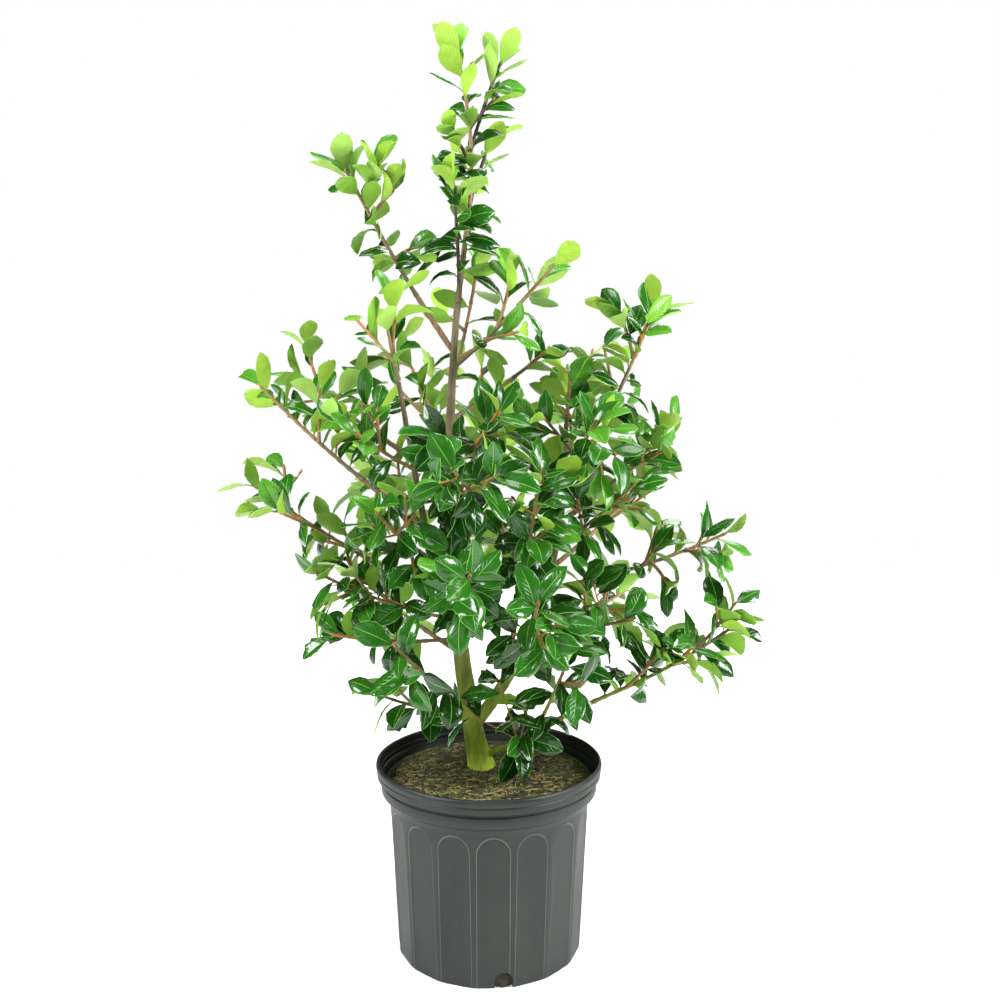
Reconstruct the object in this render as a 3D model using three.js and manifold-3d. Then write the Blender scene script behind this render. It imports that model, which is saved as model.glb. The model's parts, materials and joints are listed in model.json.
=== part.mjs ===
// A potted holly: a nursery shrub on a short trunk that forks just above the soil, in its ribbed
// plastic pot. Millimetres, +Z up. The origin is the middle of the pot's flat underside.
import * as THREE from "three";
import { mergeVertices } from "three/addons/utils/BufferGeometryUtils.js";
import Module from "manifold-3d";

const wasm = await Module();
wasm.setup();
const { degToRad, clamp, lerp } = THREE.MathUtils;

// Pot
const POT_HEIGHT = 242;
const RIM_RADIUS = 140;
const SHOULDER_RADIUS = 131;
const SHOULDER_TOP = 204;
const WALL_TOP_RADIUS = 123.5;
const WALL_TOP = 192;
const BASE_RADIUS = 114.5;
const BASE_EDGE = 2.8;
const WALL = 2.4;
const PANELS = 16;
const PANEL_HALF_ANGLE = degToRad(9);
const PANEL_TURN = degToRad(3);
const PANEL_WIDTH = 33;
const PANEL_TOP = 190;
const PANEL_RECESS = 0.7;
const DRAINS = 4;
const DRAIN_WIDTH = 21;
const DRAIN_TOP = 20;
const DRAIN_DEPTH = 14;
const DRAIN_TURN = degToRad(9.3);

// The pot above its shoulder, as [radius, height]: a band, a groove, a wider band and the lip
const RIM_BANDS = [
  [133.5, 206],
  [134, 216.5],
  [132, 218],
  [132, 221.5],
  [138.5, 223.5],
  [139, 232],
  [RIM_RADIUS, 234],
  [138.2, POT_HEIGHT],
];
const LIP_INSIDE = [
  [136, POT_HEIGHT],
  [134, 238],
];

// Soil, mounded to a flat round the trunk
const SOIL_EDGE = 218;
const SOIL_CROWN = 225.7;
const MOUND_RADIUS = 42;

// Clearance between pieces that meet
const GAP = 0.3;

// Corners nearer than this are one corner, and edges shorter than this are closed up
const WELD = 1e-4;
const FINEST = 0.02;

// Wood
const FOOT = [-10, 14, SOIL_CROWN + GAP];
const FLARE = 0.35;
const FLARE_HEIGHT = 16;
const TAPER = 1.2;
const BOUGH_RADIUS = 3.6;
const SHOOT_RADIUS = 3.1;
const SHOOT_TIP_RADIUS = 2.2;
const TWIG_RADII = [2.6, 2];
const SAG = 0.07;
const LEAD = 0.4;
const STEM_RINGS = { sides: 8, steps: 7 };
const BOUGH_RINGS = { sides: 5, steps: 3 };
const SHOOT_RINGS = { sides: 3, steps: 4 };
const FORK_RINGS = { sides: 3, steps: 3 };
const TWIG_RINGS = { sides: 3, steps: 1 };

// Twigs, by the growing rule
const SEED = 20;
const GOLDEN_ANGLE = degToRad(137.5);
const TWIG_EVERY = 60;
const TWIG_LENGTH = 64;
const TWIG_VARIES = 0.5;
const FOOT_TWIG = 1.1;
const TIP_TWIG = 0.65;
const TWIGS_TO = 0.82;
const TWIG_SPREAD = degToRad(52);
const TWIG_LIFT = 0.15;
const FORK_BOW = 0.08;

// Leaves, by the growing rule
const LEAVES_FROM = 0.16;
const BOUGH_LEAVES_FROM = 0.05;
const TWIG_LEAVES_FROM = 0.25;
const LEAVES_TO = 0.99;
const LEAF_EVERY = 17.6;
const LEAF_CROWDING = 1.25;
const LEAF_TRIES = 5;
const LEAF_LENGTH = 64;
const LEAF_WIDTH = 0.54;
const LEAF_WIDEST = 0.54;
const LEAF_THICKNESS = 0.04;
const LEAF_RIDGE = 0.22;
const YOUNG_SPREAD = degToRad(26);
const OLD_SPREAD = degToRad(72);
const OLD_AFTER = 95;
const SPREAD_VARIES = 0.3;
const LOW_SAG = 0.32;
const HIGH_SAG = 0.13;
const ALONG_FACING = 0.4;
const YOUNG_UP_FACING = 0.2;
const OLD_UP_FACING = 0.55;
const OUTWARD_FACING = 0.5;
const YOUNG_LEAF = 0.82;
const GROWN_AFTER = 32;
const SIZE_VARIES = 0.28;
const LEAF_ROLL = degToRad(70);
const LOW_LEAF = 1.1;
const HIGH_LEAF = 0.84;
const LOW_LEVEL = 300;
const HIGH_LEVEL = 1000;
const LEAF_CLEARANCE = 2.4;
const WOOD_CLEARANCE = 1.6;
const RIM_CLEARANCE = 9;

// Where a limb goes straight on from its parent's tip
const END = Infinity;

// Stems: the limb each leaves and the height where it does, two points that steer it, its tip, and
// its radius at foot and tip
const STEMS = {
  trunk: { steer: [[-45, 13, 380], [-58, 8, 600]], tip: [-36, 0, 800], radii: [13.5, 4] },
  right_stem: {
    from: "trunk", at: 277, steer: [[39, 20, 348], [95, 35, 459]], tip: [95, 40, 634], radii: [9, 3.4],
  },
  left_stem: {
    from: "trunk", at: 354, steer: [[-64, -10, 444], [-80, -35, 569]], tip: [-103, -50, 709], radii: [6, 3],
  },
  base_shoot: {
    from: "trunk", at: 238, steer: [[20, 4, 250], [45, -12, 268]], tip: [68, -25, 288], radii: [4.4, 3.4],
  },
};

// Leafy branches: the limb each leaves and the height where it does, its tip, the share of it that
// is a bare bough, and any forks as [share along the leafy stem, x, y, z of the fork's tip]
const BRANCHES = {
  leader: {
    from: "trunk", at: END, tip: [-36, -5, 1084], bow: [30, 2, 12],
    forks: [[0.64, 14, 15, 1074], [0.05, -40, -26, 939]],
  },
  tall_left: { from: "trunk", at: 742, tip: [-170, 10, 960], bough: 0.34 },
  upper_right: { from: "trunk", at: 722, tip: [76, -15, 842] },
  mid_right: { from: "trunk", at: 662, tip: [69, 62, 742] },
  right_top: { from: "right_stem", at: END, tip: [97, 12, 706] },
  right_high: { from: "right_stem", at: 556, tip: [199, 20, 792], bough: 0.45 },
  right_outer: { from: "right_stem", at: 532, tip: [230, 62, 650], bough: 0.4 },
  right_front: { from: "right_stem", at: 502, tip: [179, -32, 595] },
  right_inner: { from: "right_stem", at: 604, tip: [122, -74, 664] },
  right_mid: { from: "right_stem", at: 449, tip: [291, 26, 519], bough: 0.42 },
  right_low: { from: "right_stem", at: 398, tip: [165, -62, 432] },
  low_right: {
    from: "base_shoot", at: END, tip: [287, -40, 415], bough: 0.3, forks: [[0.66, 262, -26, 372]],
  },
  low_centre: { from: "base_shoot", at: 276, tip: [97, -98, 408] },
  foot_front: { from: "base_shoot", at: 258, tip: [42, -62, 292] },
  front_centre: { from: "right_stem", at: 330, tip: [59, -95, 610], bough: 0.46 },
  front_right: { from: "right_stem", at: 372, tip: [55, -165, 475] },
  front_mid: { from: "trunk", at: 440, tip: [-18, -190, 510] },
  centre_high: { from: "trunk", at: 596, tip: [12, -84, 676] },
  centre_left: { from: "trunk", at: 640, tip: [-112, 34, 700] },
  front_left: { from: "left_stem", at: 566, tip: [11, -165, 613] },
  left_top: { from: "left_stem", at: END, tip: [-113, -62, 766] },
  left_high: { from: "left_stem", at: 538, tip: [-269, -10, 701], bough: 0.38 },
  left_mid: { from: "left_stem", at: 452, tip: [-279, -20, 585], bough: 0.4 },
  left_low: { from: "left_stem", at: 420, tip: [-197, -85, 493] },
  left_drape: { from: "left_stem", at: 392, tip: [-184, -40, 408] },
  left_foot: { from: "trunk", at: 306, tip: [-103, -135, 420] },
  left_lowest: { from: "trunk", at: 292, tip: [-126, -50, 336] },
  left_front: { from: "left_stem", at: 496, tip: [-122, -122, 566] },
  left_inner: { from: "left_stem", at: 606, tip: [-168, -66, 664] },
  left_back: { from: "trunk", at: 590, tip: [-240, 62, 717], bough: 0.42 },
  back_high: { from: "trunk", at: 700, tip: [-14, 112, 850] },
  back_upper_left: { from: "trunk", at: 636, tip: [-122, 138, 768] },
  back_upper_right: { from: "right_stem", at: 598, tip: [136, 160, 742] },
  back_mid: { from: "trunk", at: 548, tip: [2, 212, 672], bough: 0.3 },
  back_left: { from: "trunk", at: 492, tip: [-178, 176, 596], bough: 0.36 },
  back_right: { from: "right_stem", at: 476, tip: [206, 186, 566], bough: 0.34 },
  back_low: { from: "trunk", at: 414, tip: [20, 242, 498], bough: 0.36 },
  back_low_left: { from: "trunk", at: 372, tip: [-170, 152, 438], bough: 0.34 },
  back_low_right: { from: "right_stem", at: 392, tip: [186, 160, 420], bough: 0.32 },
};

const POT_LOOK = { color: 0x4d5350, roughness: 0.55 };
const SOIL_LOOK = { color: 0x3b2d24, roughness: 0.95 };
const TRUNK_LOOK = { color: 0x7c7850, roughness: 0.8 };
const BOUGH_LOOK = { color: 0x8a7257, roughness: 0.75 };
const LEAF_LOOK = { color: 0x2f6d2c, roughness: 0.35 };

const CROWN_AXIS = new THREE.Vector3(-10, 14, 0);
const UP = new THREE.Vector3(0, 0, 1);
const ACROSS = new THREE.Vector3(1, 0, 0);
const toVector = (place) => new THREE.Vector3(...place);

/** Repeatable random numbers from 0 to 1. */
function randomStream(seed) {
  let state = seed >>> 0;
  return () => {
    state = (state + 0x6d2b79f5) >>> 0;
    let mixed = Math.imul(state ^ (state >>> 15), state | 1);
    mixed ^= mixed + Math.imul(mixed ^ (mixed >>> 7), mixed | 61);
    return ((mixed ^ (mixed >>> 14)) >>> 0) / 4294967296;
  };
}

/** A round tapering piece of wood along part of a curve. */
class Limb {
  constructor(curve, [footRadius, tipRadius], rings, [start, end] = [0, 1]) {
    Object.assign(this, { curve, footRadius, tipRadius, rings, start, end });
    const chord = curve.getPoint(1).sub(curve.getPoint(0)).normalize();
    this.reference = Math.abs(chord.z) < 0.9 ? UP : ACROSS;
  }

  point(share) {
    return this.curve.getPoint(lerp(this.start, this.end, share));
  }

  tangent(share) {
    return this.curve.getTangent(lerp(this.start, this.end, share));
  }

  /** A point in the middle of the wood, on the straight run between two rings. */
  heart(share) {
    const { steps } = this.rings;
    const ring = Math.min(Math.floor(share * steps), steps - 1);
    return this.point(ring / steps).lerp(this.point((ring + 1) / steps), share * steps - ring);
  }

  radius(share) {
    return this.tipRadius + (this.footRadius - this.tipRadius) * (1 - share) ** TAPER;
  }

  /** Two directions square to each other and to a heading. */
  squareTo(heading) {
    const side = new THREE.Vector3().crossVectors(this.reference, heading).normalize();
    return [side, new THREE.Vector3().crossVectors(heading, side)];
  }

  ringAxes(share) {
    return this.squareTo(this.tangent(share));
  }

  points(steps) {
    return Array.from({ length: steps + 1 }, (_, i) => this.point(i / steps));
  }

  length() {
    const points = this.points(12);
    return points.slice(1).reduce((sum, point, i) => sum + point.distanceTo(points[i]), 0);
  }

  /** The share of the limb where it passes a height. */
  shareAt(height) {
    if (height === END) return 1;
    let [low, high] = [0, 1];
    for (let i = 0; i < 30; i += 1) {
      const middle = (low + high) / 2;
      if (this.point(middle).z < height) low = middle;
      else high = middle;
    }
    return low;
  }

  /** How far a place lies from the limb's bark. */
  clearance(place) {
    this.bars ??= this.points(8).slice(1).map((end, i) => {
      return { line: new THREE.Line3(this.point(i / 8), end), radius: this.radius(i / 8) };
    });
    const nearest = new THREE.Vector3();
    return Math.min(...this.bars.map(({ line, radius }) => {
      return line.closestPointToPoint(place, true, nearest).distanceTo(place) - radius;
    }));
  }

  /** A heading that stands off from the limb by an angle, turned about it. */
  headingAt(share, turn, spread) {
    const [side, over] = this.ringAxes(share);
    const out = side.multiplyScalar(Math.cos(turn)).addScaledVector(over, Math.sin(turn));
    return this.tangent(share).multiplyScalar(Math.cos(spread)).addScaledVector(out, Math.sin(spread));
  }

  /** The limb as rings of corners, grown outwards by a clearance where one is given. */
  solid(grow = 0) {
    const { sides, steps } = this.rings;
    const places = [];
    const faces = [];
    for (let ring = 0; ring <= steps; ring += 1) {
      const share = ring / steps;
      const [side, over] = this.ringAxes(share);
      const radius = this.radius(share) + grow;
      for (let k = 0; k < sides; k += 1) {
        const turn = (2 * Math.PI * k) / sides;
        const place = this.point(share).addScaledVector(side, radius * Math.cos(turn));
        places.push(...place.addScaledVector(over, radius * Math.sin(turn)));
        if (ring === 0) continue;
        const [a, b] = [(ring - 1) * sides + k, (ring - 1) * sides + ((k + 1) % sides)];
        faces.push(a, b, b + sides, a, b + sides, a + sides);
      }
    }
    const last = steps * sides;
    for (let k = 1; k < sides - 1; k += 1) faces.push(0, k + 1, k, last, last + k, last + k + 1);
    return toSolid(meshGeometry(places, faces));
  }
}

/** The trunk, cut level at its foot, with a root flare above the cut. */
class Trunk extends Limb {
  radius(share) {
    const rise = this.point(share).z - FOOT[2];
    return super.radius(share) * (1 + FLARE * Math.exp(-rise / FLARE_HEIGHT));
  }

  ringAxes(share) {
    return this.squareTo(share === 0 ? UP : this.tangent(share));
  }
}

/** A leaf: a flat pointed blade of six faces, raised along its midrib. */
class Leaf {
  constructor(axis, share, turn, age, [spreadDraw, sizeDraw, rollDraw]) {
    this.root = axis.heart(share);
    const level = clamp((this.root.z - LOW_LEVEL) / (HIGH_LEVEL - LOW_LEVEL), 0, 1);
    const spread = lerp(YOUNG_SPREAD, OLD_SPREAD, age) + SPREAD_VARIES * (spreadDraw - 0.5);
    this.heading = axis.headingAt(share, turn, spread);
    this.heading.z -= age * lerp(LOW_SAG, HIGH_SAG, level);
    this.heading.normalize();
    const outward = new THREE.Vector3(this.root.x, this.root.y, 0).sub(CROWN_AXIS).normalize();
    this.facing = axis.tangent(share).multiplyScalar(ALONG_FACING);
    this.facing.addScaledVector(UP, lerp(YOUNG_UP_FACING, OLD_UP_FACING, age));
    this.facing.addScaledVector(outward, OUTWARD_FACING);
    this.facing.addScaledVector(this.heading, -this.facing.dot(this.heading)).normalize();
    this.facing.applyAxisAngle(this.heading, LEAF_ROLL * (rollDraw - 0.5));
    this.side = new THREE.Vector3().crossVectors(this.heading, this.facing);
    const grown = lerp(YOUNG_LEAF, 1, Math.min(1, (age * OLD_AFTER) / GROWN_AFTER));
    const varied = 1 + SIZE_VARIES * (sizeDraw - 0.5);
    this.length = LEAF_LENGTH * lerp(LOW_LEAF, HIGH_LEAF, level) * grown * varied;
    this.tip = this.place(1, 0, 0);
    this.left = this.place(LEAF_WIDEST, -LEAF_WIDTH / 2, 0);
    this.right = this.place(LEAF_WIDEST, LEAF_WIDTH / 2, 0);
    this.middle = this.place(LEAF_WIDEST, 0, 0);
    this.ridge = this.place(LEAF_RIDGE, 0, LEAF_THICKNESS);
  }

  /** A place on the leaf, as shares of its length ahead, aside and upwards. */
  place(ahead, aside, up) {
    const place = this.root.clone().addScaledVector(this.heading, ahead * this.length);
    place.addScaledVector(this.side, aside * this.length);
    return place.addScaledVector(this.facing, up * this.length);
  }

  samples() {
    const { left, right, tip, middle } = this;
    const outer = [left, right, middle].map((corner) => corner.clone().lerp(tip, 0.5));
    return [middle, left, right, tip, ...outer];
  }

  /** Whether this blade and another come so near that they touch. */
  meets(other) {
    const near = this.root.distanceTo(other.root) < this.length + other.length;
    return near && (this.cutBy(other) || other.cutBy(this));
  }

  cutBy(other) {
    const { root, left, right, tip, middle } = this;
    const edges = [[root, left], [left, tip], [tip, right], [right, root], [root, middle], [middle, tip]];
    return [-LEAF_CLEARANCE, 0, LEAF_CLEARANCE].some((level) => {
      const corners = [other.root, other.left, other.right, other.tip];
      const [foot, oneSide, otherSide, point] = corners.map((corner) => {
        return corner.clone().addScaledVector(other.facing, level);
      });
      return edges.some((edge) => {
        return crosses(...edge, foot, oneSide, point) || crosses(...edge, foot, otherSide, point);
      });
    });
  }

  solid() {
    const corners = [this.root, this.left, this.right, this.tip, this.ridge];
    const faces = [0, 2, 4, 4, 2, 3, 0, 4, 1, 4, 3, 1, 0, 1, 2, 1, 3, 2];
    return toSolid(meshGeometry(corners.flatMap((corner) => corner.toArray()), faces));
  }
}

/** Whether a line from start to end passes through the triangle a, b, c. */
function crosses(start, end, a, b, c) {
  const heading = end.clone().sub(start);
  const reach = heading.length();
  const ray = new THREE.Ray(start, heading.divideScalar(reach));
  const hit = ray.intersectTriangle(a, b, c, false, new THREE.Vector3());
  return hit !== null && hit.distanceTo(start) <= reach;
}

/** Whether places stay above the soil inside the pot, and above its rim elsewhere. */
function clearOfPot(places) {
  return places.every((place) => {
    const inPot = Math.hypot(place.x, place.y) < SHOULDER_RADIUS - RIM_CLEARANCE;
    const floor = inPot ? SOIL_CROWN : POT_HEIGHT;
    return place.z > floor + RIM_CLEARANCE;
  });
}

/** The whole shrub: its bare limbs, and its leafy branches with their stems, twigs and leaves. */
class Shrub {
  constructor() {
    this.limbs = {};
    this.branches = {};
    this.leaves = [];
    Object.entries(STEMS).forEach(([name, stem]) => this.addStem(name, stem));
    Object.entries(BRANCHES).forEach(([name, branch]) => this.addBranch(name, branch));
    const branches = Object.values(this.branches);
    branches.forEach((branch, i) => this.growTwigs(branch, randomStream(SEED + i)));
    this.wood = [...this.bareLimbs(), ...branches.flatMap(({ wood }) => wood)];
    branches.forEach((branch, i) => this.growLeaves(branch, randomStream(SEED + branches.length + i)));
  }

  bareLimbs() {
    return Object.values(this.limbs).map(({ limb }) => limb);
  }

  addStem(name, { from, at, steer, tip, radii }) {
    const parent = this.limbs[from]?.limb;
    const foot = parent ? parent.point(parent.shareAt(at)) : toVector(FOOT);
    const curve = new THREE.CubicBezierCurve3(foot, ...steer.map(toVector), toVector(tip));
    const limb = parent ? new Limb(curve, radii, STEM_RINGS) : new Trunk(curve, radii, STEM_RINGS);
    this.limbs[name] = { limb, parent: from };
  }

  /** A branch's curve: straight on from its parent's tip, or out from its side and sagging. */
  branchCurve({ from, at, tip, bow }) {
    const parent = this.limbs[from].limb;
    const foot = parent.point(parent.shareAt(at));
    const end = toVector(tip);
    const reach = foot.distanceTo(end);
    const steer = foot.clone().lerp(end, 0.5).add(toVector(bow ?? [0, 0, -SAG * reach]));
    if (at !== END) return new THREE.QuadraticBezierCurve3(foot, steer, end);
    foot.addScaledVector(parent.tangent(1), GAP);
    const ahead = foot.clone().addScaledVector(parent.tangent(1), LEAD * reach);
    return new THREE.CubicBezierCurve3(foot, ahead, steer, end);
  }

  addBranch(name, branch) {
    const curve = this.branchCurve(branch);
    const bare = branch.bough ?? 0;
    const parent = bare ? `${name}_bough` : branch.from;
    if (bare) {
      const bough = new Limb(curve, [BOUGH_RADIUS, SHOOT_RADIUS], BOUGH_RINGS, [0, bare]);
      this.limbs[parent] = { limb: bough, parent: branch.from };
    }
    const footRadius = branch.at === END && !bare ? this.limbs[parent].limb.tipRadius : SHOOT_RADIUS;
    const start = bare ? bare + GAP / curve.getLength() : 0;
    const stem = new Limb(curve, [footRadius, SHOOT_TIP_RADIUS], SHOOT_RINGS, [start, 1]);
    const forks = (branch.forks ?? []).map(([share, ...tip]) => forkLimb(stem, share, toVector(tip)));
    const leafyFrom = bare || branch.at === END ? BOUGH_LEAVES_FROM : LEAVES_FROM;
    this.branches[name] = { parent, stem, leafyFrom, wood: [stem, ...forks], leaves: [] };
  }

  growTwigs(branch, random) {
    const { stem, leafyFrom, wood } = branch;
    const count = Math.round((stem.length() * (1 - leafyFrom)) / TWIG_EVERY);
    const firstTurn = random() * 2 * Math.PI;
    for (let k = 0; k < count; k += 1) {
      const share = lerp(leafyFrom, TWIGS_TO, (k + 0.5) / count);
      const varied = 1 + TWIG_VARIES * (random() - 0.5);
      const length = TWIG_LENGTH * varied * lerp(FOOT_TWIG, TIP_TWIG, share);
      const heading = stem.headingAt(share, firstTurn + k * GOLDEN_ANGLE, TWIG_SPREAD);
      heading.z += TWIG_LIFT;
      const foot = stem.heart(share);
      const tip = foot.clone().addScaledVector(heading.normalize(), length);
      const twig = new Limb(new THREE.LineCurve3(foot, tip), TWIG_RADII, TWIG_RINGS);
      const outer = twig.points(4).slice(2);
      const nearby = [...this.bareLimbs(), ...wood];
      const hasRoom = this.inOwnSpace(outer, branch) && clearOfWood(outer, nearby) && clearOfPot(outer);
      if (hasRoom) wood.push(twig);
    }
  }

  growLeaves(branch, random) {
    for (const axis of branch.wood) {
      const leafyFrom = axis === branch.stem ? branch.leafyFrom : TWIG_LEAVES_FROM;
      const length = axis.length() * (1 - leafyFrom);
      const count = Math.max(3, Math.round(length / LEAF_EVERY));
      const firstTurn = random() * 2 * Math.PI;
      for (let k = 0; k < count; k += 1) {
        const back = (k / count) ** LEAF_CROWDING;
        const share = lerp(LEAVES_TO, leafyFrom, back);
        const age = Math.min(1, (back * length) / OLD_AFTER);
        const draws = [random(), random(), random()];
        const options = Array.from({ length: LEAF_TRIES }, (_, i) => {
          return new Leaf(axis, share, firstTurn + (k + 2 * i) * GOLDEN_ANGLE, age, draws);
        });
        const leaf = options.find((option) => this.hasRoom(option, branch));
        if (!leaf) continue;
        branch.leaves.push(leaf);
        this.leaves.push(leaf);
      }
    }
  }

  hasRoom(leaf, branch) {
    const places = leaf.samples();
    const inSpace = this.inOwnSpace([leaf.middle, leaf.tip], branch);
    if (!inSpace || !clearOfPot(places) || !clearOfWood(places, this.wood)) return false;
    return !this.leaves.some((other) => other.meets(leaf));
  }

  /** Whether places lie nearer a branch's own wood than any other leafy branch's. */
  inOwnSpace(places, branch) {
    const distance = (place, { wood }) => Math.min(...wood.map((limb) => limb.clearance(place)));
    const others = Object.values(this.branches).filter((other) => other !== branch);
    return places.every((place) => {
      const own = distance(place, branch);
      return others.every((other) => distance(place, other) > own);
    });
  }
}

/** A fork from a share of a stem to a tip, bowed along the stem. */
function forkLimb(stem, share, tip) {
  const foot = stem.heart(share);
  const steer = foot.clone().lerp(tip, 0.5);
  steer.addScaledVector(stem.tangent(share), FORK_BOW * foot.distanceTo(tip));
  return new Limb(new THREE.QuadraticBezierCurve3(foot, steer, tip), TWIG_RADII, FORK_RINGS);
}

function clearOfWood(places, wood) {
  return places.every((place) => wood.every((limb) => limb.clearance(place) > WOOD_CLEARANCE));
}

function meshGeometry(places, faces) {
  const geometry = new THREE.BufferGeometry();
  geometry.setAttribute("position", new THREE.Float32BufferAttribute(places, 3));
  geometry.setIndex(faces);
  return geometry;
}

/** A geometry with vertices that lie within the weld merged, and faces that this closes dropped. */
function welded(geometry) {
  const bare = geometry.clone();
  bare.deleteAttribute("normal");
  bare.deleteAttribute("uv");
  const merged = mergeVertices(bare, WELD);
  const corners = Array.from(merged.index.array);
  const faces = [];
  for (let i = 0; i < corners.length; i += 3) {
    const [a, b, c] = corners.slice(i, i + 3);
    if (a !== b && b !== c && c !== a) faces.push(a, b, c);
  }
  merged.setIndex(faces);
  return merged;
}

/** A solid that can be joined and cut. */
function toSolid(geometry) {
  const { attributes, index } = welded(geometry);
  const vertProperties = new Float32Array(attributes.position.array);
  const triVerts = new Uint32Array(index.array);
  return new wasm.Manifold(new wasm.Mesh({ numProp: 3, vertProperties, triVerts, tolerance: FINEST }));
}

/** A geometry with its broadest faces first, as the first face tells a solid's inside from its outside. */
function broadestFirst(geometry) {
  const corner = (index) => new THREE.Vector3().fromBufferAttribute(geometry.attributes.position, index);
  const faces = [];
  for (let i = 0; i < geometry.index.count; i += 3) {
    const face = Array.from(geometry.index.array.slice(i, i + 3));
    faces.push({ face, area: new THREE.Triangle(...face.map(corner)).getArea() });
  }
  faces.sort((one, other) => other.area - one.area);
  geometry.setIndex(faces.flatMap(({ face }) => face));
  return geometry;
}

/** A named mesh of a solid's largest body, with sealed hollows filled and loose scraps dropped. */
function toMesh(name, solid, look) {
  const body = solid.decompose().reduce((best, other) => (other.volume() > best.volume() ? other : best));
  const { vertProperties, triVerts } = body.getMesh();
  const geometry = broadestFirst(meshGeometry(Array.from(vertProperties), Array.from(triVerts)));
  geometry.computeVertexNormals();
  const mesh = new THREE.Mesh(geometry, new THREE.MeshStandardMaterial({ ...look, metalness: 0 }));
  mesh.name = name;
  return mesh;
}

/** A cut of a round-topped outline, inwards from outside the pot to a distance from its axis. */
function archCut(width, top, distance, lean, turn) {
  const half = width / 2;
  const shape = new THREE.Shape();
  shape.moveTo(-half, -half);
  shape.lineTo(half, -half);
  shape.lineTo(half, top - half);
  shape.absarc(0, top - half, half, 0, Math.PI, false);
  const geometry = new THREE.ExtrudeGeometry(shape, { depth: half, bevelEnabled: false, curveSegments: 2 });
  geometry.rotateX(Math.PI / 2 + lean);
  geometry.translate(0, -distance, 0);
  geometry.rotateZ(turn);
  return toSolid(geometry);
}

/** A turned body whose columns fall on the panels' edges and middles, flat across each panel. */
function panelledBody(profile) {
  const geometry = new THREE.LatheGeometry(profile.map(([r, z]) => new THREE.Vector2(r, z)), 3 * PANELS);
  const position = geometry.attributes.position;
  for (let i = 0; i < position.count; i += 1) {
    const [r, z] = profile[i % profile.length];
    const column = Math.floor(i / profile.length);
    const middleTurn = PANEL_TURN + (2 * Math.PI * Math.floor(column / 3)) / PANELS;
    const turn = middleTurn + ((column % 3) - 1) * PANEL_HALF_ANGLE;
    const radius = column % 3 === 1 && z <= WALL_TOP ? r * Math.cos(PANEL_HALF_ANGLE) : r;
    position.setXYZ(i, radius * Math.sin(turn), -radius * Math.cos(turn), z);
  }
  return toSolid(geometry);
}

/** A thin pot: rolled lip, two bands, flaring shoulder, arched flat panels and drain notches. */
function potSolid() {
  const outside = [
    [0, 0],
    [BASE_RADIUS - BASE_EDGE, 0],
    [BASE_RADIUS, BASE_EDGE],
    [WALL_TOP_RADIUS, WALL_TOP],
    [SHOULDER_RADIUS, SHOULDER_TOP],
    ...RIM_BANDS,
  ];
  const inside = [
    ...LIP_INSIDE,
    [SHOULDER_RADIUS - WALL, SHOULDER_TOP],
    [WALL_TOP_RADIUS - WALL, WALL_TOP],
    [BASE_RADIUS - WALL, WALL],
    [0, WALL],
  ];
  const flatness = Math.cos(PANEL_HALF_ANGLE);
  const lean = Math.atan2((WALL_TOP_RADIUS - BASE_RADIUS) * flatness, WALL_TOP);
  let pot = panelledBody([...outside, ...inside]);
  for (let i = 0; i < PANELS; i += 1) {
    const turn = PANEL_TURN + (2 * Math.PI * i) / PANELS;
    pot = pot.subtract(archCut(PANEL_WIDTH, PANEL_TOP, BASE_RADIUS * flatness - PANEL_RECESS, lean, turn));
  }
  for (let i = 0; i < DRAINS; i += 1) {
    const turn = DRAIN_TURN + (2 * Math.PI * i) / DRAINS;
    pot = pot.subtract(archCut(DRAIN_WIDTH, DRAIN_TOP, BASE_RADIUS - DRAIN_DEPTH, 0, turn));
  }
  return pot;
}

/** The potting soil that fills the pot, round inside its flat panels. */
function soilSolid() {
  const inside = (radius) => (radius - WALL) * Math.cos(PANEL_HALF_ANGLE) - GAP;
  const profile = [
    [0, WALL + GAP],
    [inside(BASE_RADIUS), WALL + GAP],
    [inside(WALL_TOP_RADIUS), WALL_TOP],
    [inside(SHOULDER_RADIUS), SHOULDER_TOP],
    [inside(SHOULDER_RADIUS + 1), SOIL_EDGE],
    [MOUND_RADIUS, SOIL_CROWN],
    [0, SOIL_CROWN],
  ];
  const geometry = new THREE.LatheGeometry(profile.map(([r, z]) => new THREE.Vector2(r, z)), 2 * PANELS);
  return toSolid(geometry.rotateX(Math.PI / 2));
}

/** A limb cut clear of the one that it grows from. */
function limbSolid({ limb, parent }, limbs) {
  return parent ? limb.solid().subtract(limbs[parent].limb.solid(GAP)) : limb.solid();
}

/** A leafy branch as one solid: its stem, twigs and leaves fused, cut clear of its parent. */
function foliageSolid({ wood, leaves, parent }, limbs) {
  const fused = [...wood, ...leaves].map((piece) => piece.solid()).reduce((sum, piece) => sum.add(piece));
  return fused.subtract(limbs[parent].limb.solid(GAP));
}

const shrub = new Shrub();
const holly = new THREE.Group();
holly.add(toMesh("pot", potSolid(), POT_LOOK));
holly.add(toMesh("soil", soilSolid(), SOIL_LOOK));
for (const [name, row] of Object.entries(shrub.limbs)) {
  holly.add(toMesh(name, limbSolid(row, shrub.limbs), name === "trunk" ? TRUNK_LOOK : BOUGH_LOOK));
}
for (const [name, branch] of Object.entries(shrub.branches)) {
  holly.add(toMesh(`${name}_foliage`, foliageSolid(branch, shrub.limbs), LEAF_LOOK));
}

export default holly;
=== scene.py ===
"""A potted holly: a young nursery shrub in its ribbed plastic pot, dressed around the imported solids.

The wood is grown from the same named sizes and by the same rule as the solids, and carried on to finer
twigs and to leaves of life size. Growing is worked out in millimetres, and the meshes are in metres.
"""

import json
import logging
import math
from contextlib import contextmanager
from dataclasses import dataclass, field
from enum import Enum
from functools import cache
from typing import Iterable, Iterator, Sequence

import bmesh
import bpy
import numpy as np
from mathutils import Matrix, Vector, noise

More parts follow.
